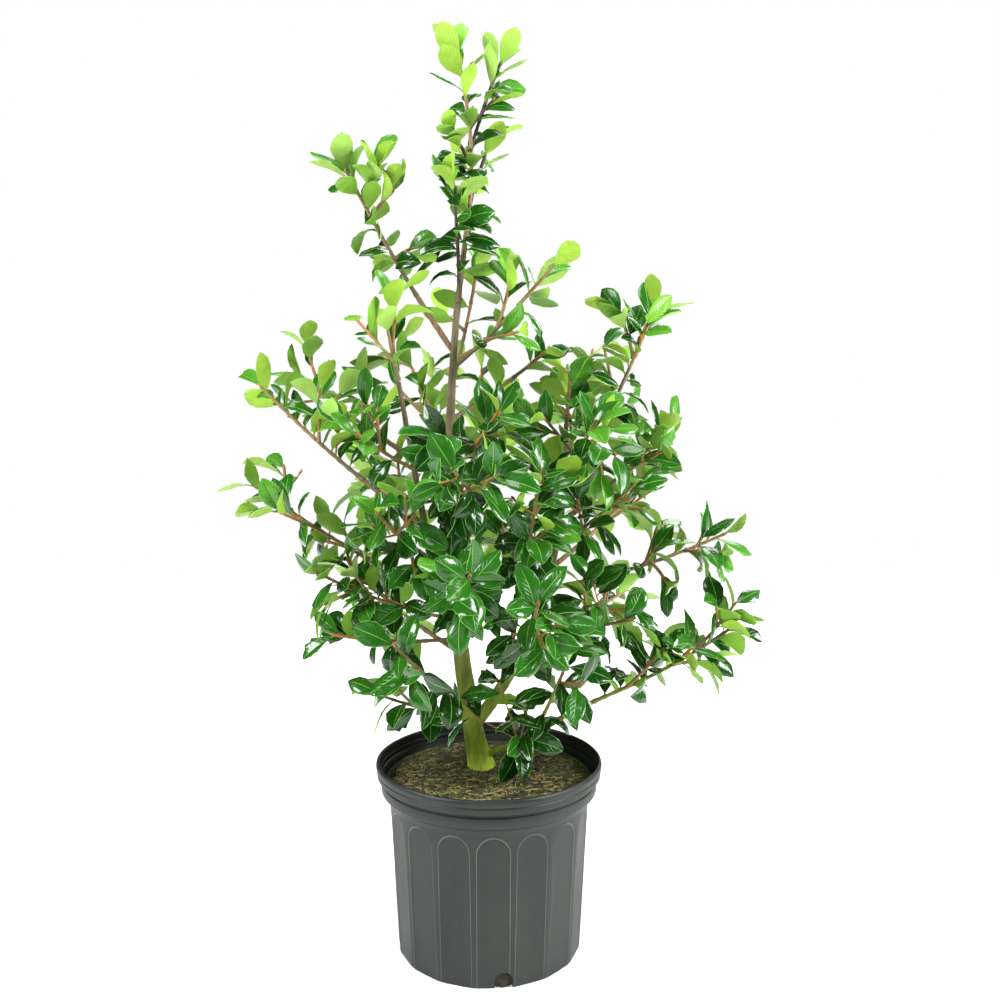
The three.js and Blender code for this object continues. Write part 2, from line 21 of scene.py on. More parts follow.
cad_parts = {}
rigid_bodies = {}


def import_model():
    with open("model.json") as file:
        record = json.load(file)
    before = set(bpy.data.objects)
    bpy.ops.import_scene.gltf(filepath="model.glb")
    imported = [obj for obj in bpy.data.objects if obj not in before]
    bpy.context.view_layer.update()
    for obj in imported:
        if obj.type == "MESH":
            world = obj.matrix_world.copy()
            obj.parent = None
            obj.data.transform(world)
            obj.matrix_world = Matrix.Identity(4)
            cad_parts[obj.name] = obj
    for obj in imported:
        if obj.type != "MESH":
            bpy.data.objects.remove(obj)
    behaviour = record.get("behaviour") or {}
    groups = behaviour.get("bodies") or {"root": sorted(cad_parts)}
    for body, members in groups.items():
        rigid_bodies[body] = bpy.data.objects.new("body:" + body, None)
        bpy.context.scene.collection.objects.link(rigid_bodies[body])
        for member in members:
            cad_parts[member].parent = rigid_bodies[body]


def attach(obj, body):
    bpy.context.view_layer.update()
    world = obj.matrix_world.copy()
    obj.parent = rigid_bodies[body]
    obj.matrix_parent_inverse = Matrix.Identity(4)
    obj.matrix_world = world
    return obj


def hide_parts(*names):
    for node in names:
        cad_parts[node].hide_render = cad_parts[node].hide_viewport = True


LOG = logging.getLogger("holly")
MM = 0.001
BODY = "root"

# Where a limb goes straight on from its parent's tip
END = math.inf

# The map on each leaf: from 0 to 1 along it and across it
BLADE_MAP = "blade"

# The least divisor
TINY = 1e-9

Array = np.ndarray
Pair = tuple[float, float]
Place = tuple[float, float, float]
Colour = tuple[float, float, float]
Shape = tuple[Array, list[tuple[int, ...]]]
Piece = bpy.types.Object
Mesh = bpy.types.Mesh
Material = bpy.types.Material
Tree = bpy.types.NodeTree
Node = bpy.types.Node
Socket = bpy.types.NodeSocket


def linear(red: int, green: int, blue: int) -> Colour:
    """Turns a colour of 0 to 255 a channel, as seen on a screen, into scene values."""
    shares = (red / 255, green / 255, blue / 255)
    return tuple(((s + 0.055) / 1.055) ** 2.4 if s > 0.04045 else s / 12.92 for s in shares)


def blend(start: float, end: float, share: float) -> float:
    """Gives the value that lies at a share of the way from start to end."""
    return start + (end - start) * share


def unit(vector: Array) -> Array:
    """Scales a vector to a length of one."""
    return vector / np.linalg.norm(vector)


def on_curve(steer: Sequence[Array], share: float | Array) -> Array:
    """Gives a place on a steered curve.

    Args:
        steer: The steering points, from end to end.
        share: How far along the curve, or a column of such shares.

    Returns:
        The place, or a row for each share.
    """
    rows = list(steer)
    while len(rows) > 1:
        rows = [one * (1 - share) + other * share for one, other in zip(rows, rows[1:])]
    return rows[0]


# Finishes


class Sheet:
    """A material or node group while its nodes are put together."""

    # Where a Mix node has its share and two colours, and its mixed colour
    MIX_INPUTS = (0, 6, 7)
    MIX_OUTPUT = 2

    def __init__(self, tree: Tree) -> None:
        """Starts on an empty node tree."""
        self.tree = tree
        tree.nodes.clear()

    def node(self, kind: str, label: str = "", **settings: object) -> Node:
        """Adds a node.

        Args:
            kind: The node's type, such as "ShaderNodeMath".
            label: What the node is for.
            settings: Properties of the node to set.

        Returns:
            The new node.
        """
        made = self.tree.nodes.new(kind)
        made.label = label
        for name, value in settings.items():
            setattr(made, name, value)
        return made

    def feed(self, socket: Socket, value: object) -> None:
        """Links another node's output to a socket, or sets the socket to a plain value.

        Args:
            socket: The socket.
            value: The output, colour or number that it gets.
        """
        if isinstance(value, Socket):
            self.tree.links.new(value, socket)
        elif isinstance(value, tuple) and len(value) == 3 and socket.type == "RGBA":
            socket.default_value = (*value, 1.0)
        else:
            socket.default_value = value

    def call(self, group: Tree, **inputs: object) -> Socket:
        """Places a node group.

        Args:
            group: The group, which has one output.
            inputs: What its inputs get, by their names.

        Returns:
            The output.
        """
        made = self.node("ShaderNodeGroup", group.name, node_tree=group)
        for name, value in inputs.items():
            self.feed(made.inputs[name], value)
        return made.outputs[0]

    def places(self) -> Socket:
        """Gives the Object coordinates."""
        return self.node("ShaderNodeTexCoord", "Place").outputs["Object"]

    def stretched(self, places: Socket, upright: float) -> Socket:
        """Stretches a pattern upright.

        Args:
            places: The coordinates.
            upright: The scale along the upright axis.

        Returns:
            The scaled coordinates.
        """
        mapping = self.node("ShaderNodeMapping", "Stretch")
        self.feed(mapping.inputs["Vector"], places)
        mapping.inputs["Scale"].default_value = (1.0, 1.0, upright)
        return mapping.outputs["Vector"]

    def part(self, vector: Socket, axis: str) -> Socket:
        """Takes one part of a vector.

        Args:
            vector: The vector.
            axis: The part's axis, "X", "Y" or "Z".

        Returns:
            The part.
        """
        parts = self.node("ShaderNodeSeparateXYZ", axis)
        self.feed(parts.inputs[0], vector)
        return parts.outputs[axis]

    def mix(self, share: object, first: object, second: object) -> Socket:
        """Mixes two colours.

        Args:
            share: How much there is of the second, from 0 to 1.
            first: One colour.
            second: The other.

        Returns:
            The mixed colour.
        """
        mixer = self.node("ShaderNodeMix", "Mix", data_type="RGBA")
        for i, value in zip(self.MIX_INPUTS, (share, first, second)):
            self.feed(mixer.inputs[i], value)
        return mixer.outputs[self.MIX_OUTPUT]

    def ranged(self, value: object, before: Sequence[object], after: Pair = (0.0, 1.0)) -> Socket:
        """Maps a value from one range to another, held at the ends.

        Args:
            value: The value.
            before: The range that it comes from.
            after: The range that it goes to.

        Returns:
            The mapped value.
        """
        mapper = self.node("ShaderNodeMapRange", "Range", clamp=True)
        for i, part in enumerate((value, *before, *after)):
            self.feed(mapper.inputs[i], part)
        return mapper.outputs[0]

    def sums(self, operation: str, first: object, second: object) -> Socket:
        """Works out one sum of two values.

        Args:
            operation: The sum, such as "ADD".
            first: One value.
            second: The other.

        Returns:
            The result.
        """
        made = self.node("ShaderNodeMath", operation, operation=operation)
        self.feed(made.inputs[0], first)
        self.feed(made.inputs[1], second)
        return made.outputs[0]


class NodeGroups:
    """The effects that several finishes share, each built once."""

    @staticmethod
    def _start(name: str, **inputs: float | None) -> tuple[Sheet, bpy.types.NodeOutputs]:
        """Starts a group with its inputs.

        Args:
            name: The group's name.
            inputs: Each input's plain value, or None for coordinates.

        Returns:
            The group's sheet of nodes, and its inputs.
        """
        group = bpy.data.node_groups.new(name, "ShaderNodeTree")
        for label, value in inputs.items():
            kind = "NodeSocketVector" if value is None else "NodeSocketFloat"
            socket = group.interface.new_socket(label, in_out="INPUT", socket_type=kind)
            if value is not None:
                socket.default_value = value
        sheet = Sheet(group)
        return sheet, sheet.node("NodeGroupInput").outputs

    @staticmethod
    def _end(sheet: Sheet, label: str, value: Socket) -> Tree:
        """Ends a group with its output.

        Args:
            sheet: The group's sheet of nodes.
            label: The output's name.
            value: What it gives.

        Returns:
            The group.
        """
        sheet.tree.interface.new_socket(label, in_out="OUTPUT", socket_type="NodeSocketFloat")
        sheet.feed(sheet.node("NodeGroupOutput").inputs[label], value)
        return sheet.tree

    @staticmethod
    @cache
    def mottle() -> Tree:
        """Gives the group for soft blotches: a mask from 0 to 1 at a chosen size and cover.

        Returns:
            A group with inputs Place, Scale, Cover and Edge and the output Mask.
        """
        sheet, inputs = NodeGroups._start("mottle", Place=None, Scale=20.0, Cover=0.5, Edge=0.2)
        blotches = sheet.node("ShaderNodeTexNoise", "Blotches")
        blotches.inputs["Detail"].default_value = 5.0
        blotches.inputs["Roughness"].default_value = 0.6
        sheet.feed(blotches.inputs["Vector"], inputs["Place"])
        sheet.feed(blotches.inputs["Scale"], inputs["Scale"])
        low = sheet.sums("SUBTRACT", inputs["Cover"], inputs["Edge"])
        high = sheet.sums("ADD", inputs["Cover"], inputs["Edge"])
        return NodeGroups._end(sheet, "Mask", sheet.ranged(blotches.outputs[0], (low, high)))

    @staticmethod
    @cache
    def grain() -> Tree:
        """Gives the group for fine relief: a coarse layer of height and a finer one.

        Returns:
            A group with inputs Place, Scale and Fine and the output Height.
        """
        sheet, inputs = NodeGroups._start("grain", Place=None, Scale=200.0, Fine=0.4)
        coarse = sheet.node("ShaderNodeTexNoise", "Coarse")
        coarse.inputs["Detail"].default_value = 4.0
        sheet.feed(coarse.inputs["Vector"], inputs["Place"])
        sheet.feed(coarse.inputs["Scale"], inputs["Scale"])
        pits = sheet.node("ShaderNodeTexVoronoi", "Fine")
        sheet.feed(pits.inputs["Vector"], inputs["Place"])
        sheet.feed(pits.inputs["Scale"], sheet.sums("MULTIPLY", inputs["Scale"], 3.0))
        fine = sheet.sums("MULTIPLY", pits.outputs["Distance"], inputs["Fine"])
        return NodeGroups._end(sheet, "Height", sheet.sums("ADD", coarse.outputs[0], fine))

    @staticmethod
    @cache
    def veins() -> Tree:
        """Gives the group for a leaf's side veins: grooves that slant from the rib to the margin.

        Returns:
            A group with inputs Blade, from 0 to 1 along and across, and Count and the output Height.
        """
        sheet, inputs = NodeGroups._start("veins", Blade=None, Count=8.0)
        along, across = (sheet.part(inputs["Blade"], axis) for axis in "XY")
        aside = sheet.sums("ABSOLUTE", sheet.sums("SUBTRACT", across, 0.5), 0.0)
        slanted = sheet.sums("SUBTRACT", along, sheet.sums("MULTIPLY", aside, 0.6))
        waves = sheet.sums("PINGPONG", sheet.sums("MULTIPLY", slanted, inputs["Count"]), 0.5)
        return NodeGroups._end(sheet, "Height", sheet.ranged(waves, (0.0, 0.3)))


class Coat(Sheet):
    """A material while it is put together, around its one surface shader."""

    def __init__(self, name: str) -> None:
        """Starts a material.

        Args:
            name: The material's name.
        """
        self.material = bpy.data.materials.new(name)
        self.material.use_nodes = True
        super().__init__(self.material.node_tree)
        self.surface = self.node("ShaderNodeBsdfPrincipled", "Surface")
        output = self.node("ShaderNodeOutputMaterial", "Out")
        self.feed(output.inputs["Surface"], self.surface.outputs["BSDF"])

    def put(self, name: str, value: object) -> None:
        """Feeds one of the shader's sockets."""
        self.feed(self.surface.inputs[name], value)

    def mottle(self, places: Socket, scale: float, cover: float, edge: float) -> Socket:
        """Gives a mask of soft blotches."""
        return self.call(NodeGroups.mottle(), Place=places, Scale=scale, Cover=cover, Edge=edge)

    def roughen(self, mask: Socket, ends: Pair) -> None:
        """Lets the roughness run from one value to another by a mask."""
        self.put("Roughness", self.ranged(mask, (0.0, 1.0), ends))

    def relief(self, height: Socket, depth: float) -> None:
        """Feeds a height to the shader as bumps.

        Args:
            height: The height, from 0 to about 1.
            depth: How much a height of 1 is, in metres.
        """
        bump = self.node("ShaderNodeBump", "Relief")
        bump.inputs["Strength"].default_value = 1.0
        bump.inputs["Distance"].default_value = depth
        self.feed(bump.inputs["Height"], height)
        self.put("Normal", bump.outputs["Normal"])

    def grain(self, places: Socket, scale: float, fine: float, depth: float) -> None:
        """Gives the surface a fine relief, of a depth in metres."""
        self.relief(self.call(NodeGroups.grain(), Place=places, Scale=scale, Fine=fine), depth)


@dataclass(frozen=True)
class Finish:
    """What every finish has: a name and a way to make its material."""

    name: str

    def make(self) -> Material:
        """Makes the material.

        Returns:
            The material.
        """
        coat = Coat(self.name)
        self.paint(coat)
        return coat.material

    def paint(self, coat: Coat) -> None:
        """Puts the finish on a material, each kind in its own way."""
        raise NotImplementedError


@dataclass(frozen=True)
class PlasticFinish(Finish):
    """Moulded plastic with dust in soft blotches and a fine satin grain."""

    base: Colour
    dusty: Colour
    smooth: float = 0.4
    rough: float = 0.58
    gloss: float = 0.34
    dust_stretch: float = 0.35
    scuffed: float = 0.6
    depth: float = 0.00012

    def paint(self, coat: Coat) -> None:
        """Puts the plastic on a material.

        Args:
            coat: The material.
        """
        coat.put("Specular IOR Level", self.gloss)
        places = coat.places()
        dust = coat.mottle(coat.stretched(places, self.dust_stretch), scale=26.0, cover=0.54, edge=0.2)
        scuffs = coat.mottle(places, scale=150.0, cover=0.66, edge=0.08)
        cover = coat.sums("MAXIMUM", dust, coat.sums("MULTIPLY", scuffs, self.scuffed))
        coat.put("Base Color", coat.mix(cover, self.base, self.dusty))
        coat.roughen(cover, (self.smooth, self.rough))
        coat.grain(places, scale=420.0, fine=0.5, depth=self.depth)


@dataclass(frozen=True)
class EarthFinish(Finish):
    """Damp potting mix, in darker and lighter crumbs, with moss on top."""

    dark: Colour
    light: Colour
    mossy: Colour
    moss_cover: float
    moss_heights: Pair = (0.19, 0.21)
    rough: Pair = (0.75, 1.0)
    depth: float = 0.0016

    def paint(self, coat: Coat) -> None:
        """Puts the earth on a material.

        Args:
            coat: The material.
        """
        places = coat.places()
        crumbs = coat.mottle(places, scale=170.0, cover=0.5, edge=0.12)
        moss = coat.mottle(places, scale=34.0, cover=self.moss_cover, edge=0.1)
        on_top = coat.sums("MULTIPLY", moss, coat.ranged(coat.part(places, "Z"), self.moss_heights))
        coat.put("Base Color", coat.mix(on_top, coat.mix(crumbs, self.dark, self.light), self.mossy))
        coat.roughen(crumbs, self.rough)
        coat.grain(places, scale=240.0, fine=0.7, depth=self.depth)


@dataclass(frozen=True)
class BarkFinish(Finish):
    """Smooth young bark: streaked along the wood, with algae towards the ground."""

    base: Colour
    streak: Colour
    algae: Colour
    algae_heights: Pair
    algae_cover: float = 0.92
    algae_uneven: float = 0.12
    algae_on_streaks: float = 0.45
    streak_stretch: float = 0.16
    rough: Pair = (0.7, 0.9)
    depth: float = 0.0005

    def paint(self, coat: Coat) -> None:
        """Puts the bark on a material.

        Args:
            coat: The material.
        """
        places = coat.places()
        along = coat.stretched(places, self.streak_stretch)
        streaks = coat.mottle(along, scale=190.0, cover=0.5, edge=0.16)
        patches = coat.mottle(along, scale=60.0, cover=0.5, edge=0.3)
        level = coat.sums("ADD", coat.part(places, "Z"), coat.sums("MULTIPLY", patches, self.algae_uneven))
        green = coat.ranged(level, self.algae_heights, (self.algae_cover, 0.0))
        thin = coat.ranged(streaks, (0.0, 1.0), (1.0, self.algae_on_streaks))
        bark = coat.mix(streaks, self.base, self.streak)
        coat.put("Base Color", coat.mix(coat.sums("MULTIPLY", green, thin), bark, self.algae))
        coat.roughen(streaks, self.rough)
        coat.grain(along, scale=260.0, fine=0.5, depth=self.depth)


@dataclass(frozen=True)
class ShootFinish(Finish):
    """The thin bark of a shoot: one base colour, with a faint grain and a dull sheen."""

    base: Colour
    rough: float = 0.5
    smoother: float = 0.08
    rougher: float = 0.12
    depth: float = 0.0002

    def paint(self, coat: Coat) -> None:
        """Puts the bark on a material.

        Args:
            coat: The material.
        """
        places = coat.places()
        coat.put("Base Color", self.base)
        mottle = coat.mottle(places, scale=300.0, cover=0.5, edge=0.2)
        coat.roughen(mottle, (self.rough - self.smoother, self.rough + self.rougher))
        coat.grain(places, scale=420.0, fine=0.4, depth=self.depth)


@dataclass(frozen=True)
class LeafFinish(Finish):
    """A leaf's skin: one base colour, faintly mottled, waxed or matt, grooved along its side veins."""

    base: Colour
    rough: float
    wax: float = 0.0
    wax_rough: float = 0.13
    uneven: float = 0.05
    paler: float = 1.3
    groove: float = 0.00026
    gloss: float = 0.32

    def paint(self, coat: Coat) -> None:
        """Puts the skin on a material.

        Args:
            coat: The material.
        """
        coat.put("Specular IOR Level", self.gloss)
        coat.put("Coat Weight", self.wax)
        coat.put("Coat Roughness", self.wax_rough)
        mottle = coat.mottle(coat.places(), scale=70.0, cover=0.5, edge=0.25)
        pale = tuple(min(1.0, part * self.paler) for part in self.base)
        coat.put("Base Color", coat.mix(mottle, self.base, pale))
        coat.roughen(mottle, (self.rough - self.uneven, self.rough + self.uneven))
        blade = coat.node("ShaderNodeUVMap", "Blade", uv_map=BLADE_MAP)
        coat.relief(coat.call(NodeGroups.veins(), Blade=blade.outputs[0]), self.groove)


@dataclass(frozen=True)
class FloorFinish(Finish):
    """A plain pale studio floor, lit up towards its far edge so that it runs on into the white behind."""

    base: Colour
    near_glow: float = 0.24
    far_glow: float = 0.8
    glow_reach: Pair = (0.5, 2.2)
    rough: Pair = (0.75, 0.85)

    def paint(self, coat: Coat) -> None:
        """Puts the floor's finish on a material.

        Args:
            coat: The material.
        """
        coat.put("Base Color", self.base)
        distance = coat.node("ShaderNodeVectorMath", "Distance", operation="LENGTH")
        coat.feed(distance.inputs[0], coat.places())
        far = coat.ranged(distance.outputs["Value"], self.glow_reach)
        coat.put("Emission Color", coat.mix(far, (self.near_glow,) * 3, (self.far_glow,) * 3))
        coat.put("Emission Strength", 1.0)
        coat.roughen(coat.mottle(coat.places(), scale=3.0, cover=0.5, edge=0.4), self.rough)


class LeafTint(Enum):
    """The greens of a leaf's upper side, from old to new; also dealt out as painted light and shade, the
    lighter ones towards the crown's outside and the darker ones in its heart.
    """

    DEEP = LeafFinish("leaf_upper_deep", linear(13, 56, 6), 0.25, 0.55, gloss=0.14)
    MID = LeafFinish("leaf_upper_mid", linear(29, 84, 13), 0.26, 0.58, gloss=0.16)
    BRIGHT = LeafFinish("leaf_upper_bright", linear(64, 122, 27), 0.28, 0.46, gloss=0.2)
    FRESH = LeafFinish("leaf_upper_fresh", linear(104, 162, 40), 0.34, 0.15)


class UnderTint(Enum):
    """The colours of a leaf's underside."""

    LIME = LeafFinish("leaf_under_lime", linear(144, 182, 62), 0.5, groove=0.0001)
    SAGE = LeafFinish("leaf_under_sage", linear(146, 184, 84), 0.52, groove=0.0001)
    OLIVE = LeafFinish("leaf_under_olive", linear(118, 164, 54), 0.48, groove=0.0001)


class WoodTint(Enum):
    """The colours of the shoots, from this year's to the oldest."""

    NEW = ShootFinish("shoot_new", linear(160, 108, 50))
    TAN = ShootFinish("shoot_tan", linear(138, 110, 66))
    OLD = ShootFinish("shoot_old", linear(106, 94, 64), 0.6)
    DARK = ShootFinish("shoot_dark", linear(66, 48, 40), 0.55)
    MOSSY = ShootFinish("shoot_mossy", linear(120, 122, 46), 0.65)


LEAF_RIB = LeafFinish("leaf_rib", linear(104, 160, 62), 0.4)


# Shaping tools


def deselect_all() -> None:
    """Leaves edit mode and deselects every object."""
    if bpy.context.mode != "OBJECT":
        bpy.ops.object.mode_set(mode="OBJECT")
    bpy.ops.object.select_all(action="DESELECT")


def pick(piece: Piece) -> None:
    """Makes a piece the only one selected, and the active one.

    Args:
        piece: The piece.
    """
    deselect_all()
    piece.select_set(True)
    bpy.context.view_layer.objects.active = piece


@contextmanager
def editing(piece: Piece) -> Iterator[None]:
    """Holds a piece in edit mode for a while.

    Args:
        piece: The piece.

    Returns:
        A context with the piece in edit mode.
    """
    pick(piece)
    bpy.ops.object.mode_set(mode="EDIT")
    yield
    bpy.ops.object.mode_set(mode="OBJECT")


def settle(piece: Piece) -> None:
    """Moves a piece's place, turn and scale into its mesh."""
    pick(piece)
    bpy.ops.object.transform_apply(location=True, rotation=True, scale=True)


def apply(piece: Piece, kind: str, **settings: object) -> None:
    """Adds a modifier to a piece and applies it.

    Args:
        piece: The piece to change.
        kind: The modifier's type, such as "BEVEL".
        settings: Properties of the modifier to set.
    """
    pick(piece)
    modifier = piece.modifiers.new(kind.title(), kind)
    for name, value in settings.items():
        setattr(modifier, name, value)
    bpy.ops.object.modifier_apply(modifier=modifier.name)


def smooth(piece: Piece, degrees: float) -> None:
    """Shades a piece smooth, apart from edges sharper than an angle."""
    pick(piece)
    bpy.ops.object.shade_smooth_by_angle(angle=math.radians(degrees))


def close_up(piece: Piece) -> None:
    """Merges doubled corners and turns all faces outwards.

    Args:
        piece: The piece.
    """
    with editing(piece):
        bpy.ops.mesh.select_all(action="SELECT")
        bpy.ops.mesh.remove_doubles(threshold=1e-6)
        bpy.ops.mesh.normals_make_consistent(inside=False)


def join(piece: Piece, others: Sequence[Piece]) -> None:
    """Joins other pieces to a piece.

    Args:
        piece: The piece.
        others: The pieces that it takes in.
    """
    pick(piece)
    for other in others:
        other.select_set(True)
    bpy.ops.object.join()


def raise_profile(piece: Piece, start: float, profile: Sequence[Pair]) -> None:
    """Draws a round face up and down a profile, leaving a wall behind it at each step.

    Args:
        piece: A round face, centred on the upright axis.
        start: The face's radius.
        profile: Radii and heights in millimetres, in the order that the wall takes them.
    """
    with editing(piece):
        bpy.ops.mesh.select_all(action="SELECT")
        radius, level = start, 0.0
        for next_radius, next_level in profile:
            lift = (0.0, 0.0, (next_level - level) * MM)
            bpy.ops.mesh.extrude_region_move(TRANSFORM_OT_translate={"value": lift})
            spread = next_radius / radius
            bpy.ops.transform.resize(value=(spread, spread, 1.0))
            radius, level = next_radius, next_level


def mesh_piece(
    name: str,
    corners: Array,
    faces: Sequence[Sequence[int]],
    slots: Sequence[Material],
    face_slots: Sequence[int],
    blades: Array | None = None,
) -> Piece:
    """Makes a joined piece from arrays.

    Args:
        name: The piece's name.
        corners: Places of the corners, in metres.
        faces: Corner numbers of each face.
        slots: The piece's materials.
        face_slots: The number of each face's material.
        blades: Where each corner lies along and across its leaf, from 0 to 1.

    Returns:
        The piece, in the scene.
    """
    mesh = bpy.data.meshes.new(name)
    mesh.from_pydata(corners.tolist(), [], [list(map(int, face)) for face in faces])
    if blades is not None:
        used = np.zeros(len(mesh.loops), np.int32)
        mesh.loops.foreach_get("vertex_index", used)
        mesh.uv_layers.new(name=BLADE_MAP).data.foreach_set("uv", blades[used].astype(np.float32).ravel())
    for material in slots:
        mesh.materials.append(material)
    mesh.polygons.foreach_set("material_index", np.asarray(face_slots, np.int32))
    mesh.update()
    piece = bpy.data.objects.new(name, mesh)
    bpy.context.scene.collection.objects.link(piece)
    return piece


@dataclass
class Run:
    """A stretch of wood: the places along its middle and its radius at each, in millimetres."""

    places: Array
    radii: Array
    slot: int = 0


def swept(name: str, runs: Sequence[Run], roundness: int) -> Piece:
    """Sweeps a round outline along runs of wood, and makes the result one mesh.

    Args:
        name: The piece's name.
        runs: The wood.
        roundness: How finely the outline is divided.

    Returns:
        The piece, with each run closed at its ends.
    """
    curve = bpy.data.curves.new(name, "CURVE")
    curve.dimensions = "3D"
    curve.bevel_depth = MM
    curve.bevel_resolution = roundness
    curve.use_fill_caps = True
    for _ in range(max(run.slot for run in runs) + 1):
        curve.materials.append(None)
    for run in runs:
        spline = curve.splines.new("POLY")
        spline.points.add(len(run.places) - 1)
        spread = np.column_stack([run.places * MM, np.ones(len(run.places))])
        spline.points.foreach_set("co", spread.ravel())
        spline.points.foreach_set("radius", run.radii)
        spline.material_index = run.slot
    piece = bpy.data.objects.new(name, curve)
    bpy.context.scene.collection.objects.link(piece)
    pick(piece)
    bpy.ops.object.convert(target="MESH")
    return bpy.context.view_layer.objects.active


def dress(piece: Piece, materials: Sequence[Material]) -> None:
    """Puts materials in a piece's slots, in order, keeping what each face uses.

    Args:
        piece: The piece.
        materials: The materials.
    """
    slots = piece.data.materials
    for i, material in enumerate(materials):
        if i < len(slots):
            slots[i] = material
        else:
            slots.append(material)


def hand_over(piece: Piece, slot: str, *nodes: str) -> None:
    """Lets a finished piece ride on the plant and stand for solids.

    Args:
        piece: The finished piece.
        slot: The record's material slot; not used.
        nodes: The solids that it stands for.
    """
    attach(piece, BODY)
    if nodes:
        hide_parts(*nodes)
    triangles = sum(len(face.vertices) - 2 for face in piece.data.polygons)
    LOG.info("%s: %d triangles, stands for %d solids", piece.name, triangles, len(nodes))


# Growing


class RandomStream:
    """Repeatable random numbers from 0 to 1, the same as the solids were grown from."""

    WORD = 0xFFFFFFFF
    STEP = 0x6D2B79F5

    def __init__(self, seed: int) -> None:
        """Starts the stream at a seed."""
        self.state = seed & self.WORD

    def draw(self) -> float:
        """Gives the next number.

        Returns:
            A number from 0 up to 1.
        """
        self.state = (self.state + self.STEP) & self.WORD
        mixed = ((self.state ^ (self.state >> 15)) * (self.state | 1)) & self.WORD
        mixed ^= (mixed + (mixed ^ (mixed >> 7)) * (mixed | 61)) & self.WORD
        return (mixed ^ (mixed >> 14)) / (self.WORD + 1)

    def between(self, low: float, high: float) -> float:
        """Gives the next number, spread over a range."""
        return blend(low, high, self.draw())


@dataclass
class Limb:
    """A tapering piece of wood along part of a steered curve, in millimetres."""

    steer: Array
    foot_radius: float
    tip_radius: float
    steps: int = 1
    start: float = 0.0
    end: float = 1.0
    leafy_from: float = 0.25

    TAPER = 1.2
    UPRIGHT = 0.9
    LENGTH_STEPS = 12
    BARS = 8
    HALVINGS = 30

    def __post_init__(self) -> None:
        """Finds the direction that its rings are turned from."""
        chord = unit(self.steer[-1] - self.steer[0])
        self.reference = np.array([0.0, 0.0, 1.0] if abs(chord[2]) < self.UPRIGHT else [1.0, 0.0, 0.0])

    def points(self, shares: Array) -> Array:
        """Gives the places at shares of the limb."""
        on_steer = blend(self.start, self.end, np.asarray(shares, float))
        return on_curve(self.steer, on_steer[:, None])

    def point(self, share: float) -> Array:
        """Gives the place at one share of the limb."""
        return self.points(np.array([share]))[0]

    def tangent(self, share: float) -> Array:
        """Gives the limb's direction at a share of it."""
        return unit(on_curve(np.diff(self.steer, axis=0), blend(self.start, self.end, share)))

    def heart(self, share: float) -> Array:
        """Gives the place at a share of the limb on the straight run between two of its rings."""
        ring = min(int(share * self.steps), self.steps - 1)
        return blend(*self.points(np.array([ring, ring + 1]) / self.steps), share * self.steps - ring)

    def radius(self, share: float) -> float:
        """Gives the radius at a share of the limb."""
        return self.tip_radius + (self.foot_radius - self.tip_radius) * (1 - share) ** self.TAPER

    def length(self) -> float:
        """Gives the length along the limb."""
        places = self.points(np.linspace(0, 1, self.LENGTH_STEPS + 1))
        return float(np.linalg.norm(np.diff(places, axis=0), axis=1).sum())

    def share_at(self, height: float) -> float:
        """Gives the share of the limb where it passes a height.

        Args:
            height: The height, or END for the tip.

        Returns:
            The share, from 0 to 1.
        """
        if height == END:
            return 1.0
        low, high = 0.0, 1.0
        for _ in range(self.HALVINGS):
            middle = (low + high) / 2
            if self.point(middle)[2] < height:
                low = middle
            else:
                high = middle
        return low

    def heading_at(self, share: float, turn: float, spread: float) -> Array:
        """Gives a direction that stands off from the limb.

        Args:
            share: How far along the limb.
            turn: How far round it.
            spread: The angle to it.

        Returns:
            The direction, of length one.
        """
        ahead = self.tangent(share)
        side = unit(np.cross(self.reference, ahead))
        over = np.cross(ahead, side)
        out = side * math.cos(turn) + over * math.sin(turn)
        return ahead * math.cos(spread) + out * math.sin(spread)

    def bars(self) -> tuple[Array, Array, Array]:
        """Gives the limb as straight bars.

        Returns:
            The bars' feet, their runs and their radii.
        """
        places = self.points(np.linspace(0, 1, self.BARS + 1))
        radii = np.array([self.radius(i / self.BARS) for i in range(self.BARS)])
        return places[:-1], np.diff(places, axis=0), radii


class Trunk(Limb):
    """The trunk, with a root flare above its cut."""

    FLARE = 0.35
    FLARE_HEIGHT = 16.0

    def radius(self, share: float) -> float:
        """Gives the radius at a share of the trunk, flared towards the ground."""
        rise = self.point(share)[2] - self.steer[0][2]
        return super().radius(share) * (1 + self.FLARE * math.exp(-rise / self.FLARE_HEIGHT))


class WoodRoom:
    """All the wood as bars, for finding how near a place comes to it."""

    def __init__(self, limbs: Sequence[Limb]) -> None:
        """Gathers the limbs' bars.

        Args:
            limbs: The limbs.
        """
        parts = [limb.bars() for limb in limbs]
        self.feet = np.concatenate([feet for feet, _, _ in parts])
        self.runs = np.concatenate([runs for _, runs, _ in parts])
        self.radii = np.concatenate([radii for _, _, radii in parts])
        self.squares = np.einsum("ij,ij->i", self.runs, self.runs)

    def clearance(self, places: Array) -> Array:
        """Gives how far each place lies from each bar's bark.

        Args:
            places: The places.

        Returns:
            A table of places by bars.
        """
        off = places[:, None, :] - self.feet
        share = np.clip(np.einsum("pbk,bk->pb", off, self.runs) / self.squares, 0, 1)
        return np.linalg.norm(off - share[..., None] * self.runs, axis=2) - self.radii

    def is_clear(self, places: Array, least: float) -> bool:
        """Tells whether places keep a distance from all the wood."""
        return bool(self.clearance(places).min() > least)


@dataclass(frozen=True)
class StemPlan:
    """A stem: what it leaves and at what height, two steering points, its tip and its radii."""

    steer: tuple[Place, Place]
    tip: Place
    radii: Pair
    parent: str = ""
    at: float = 0.0


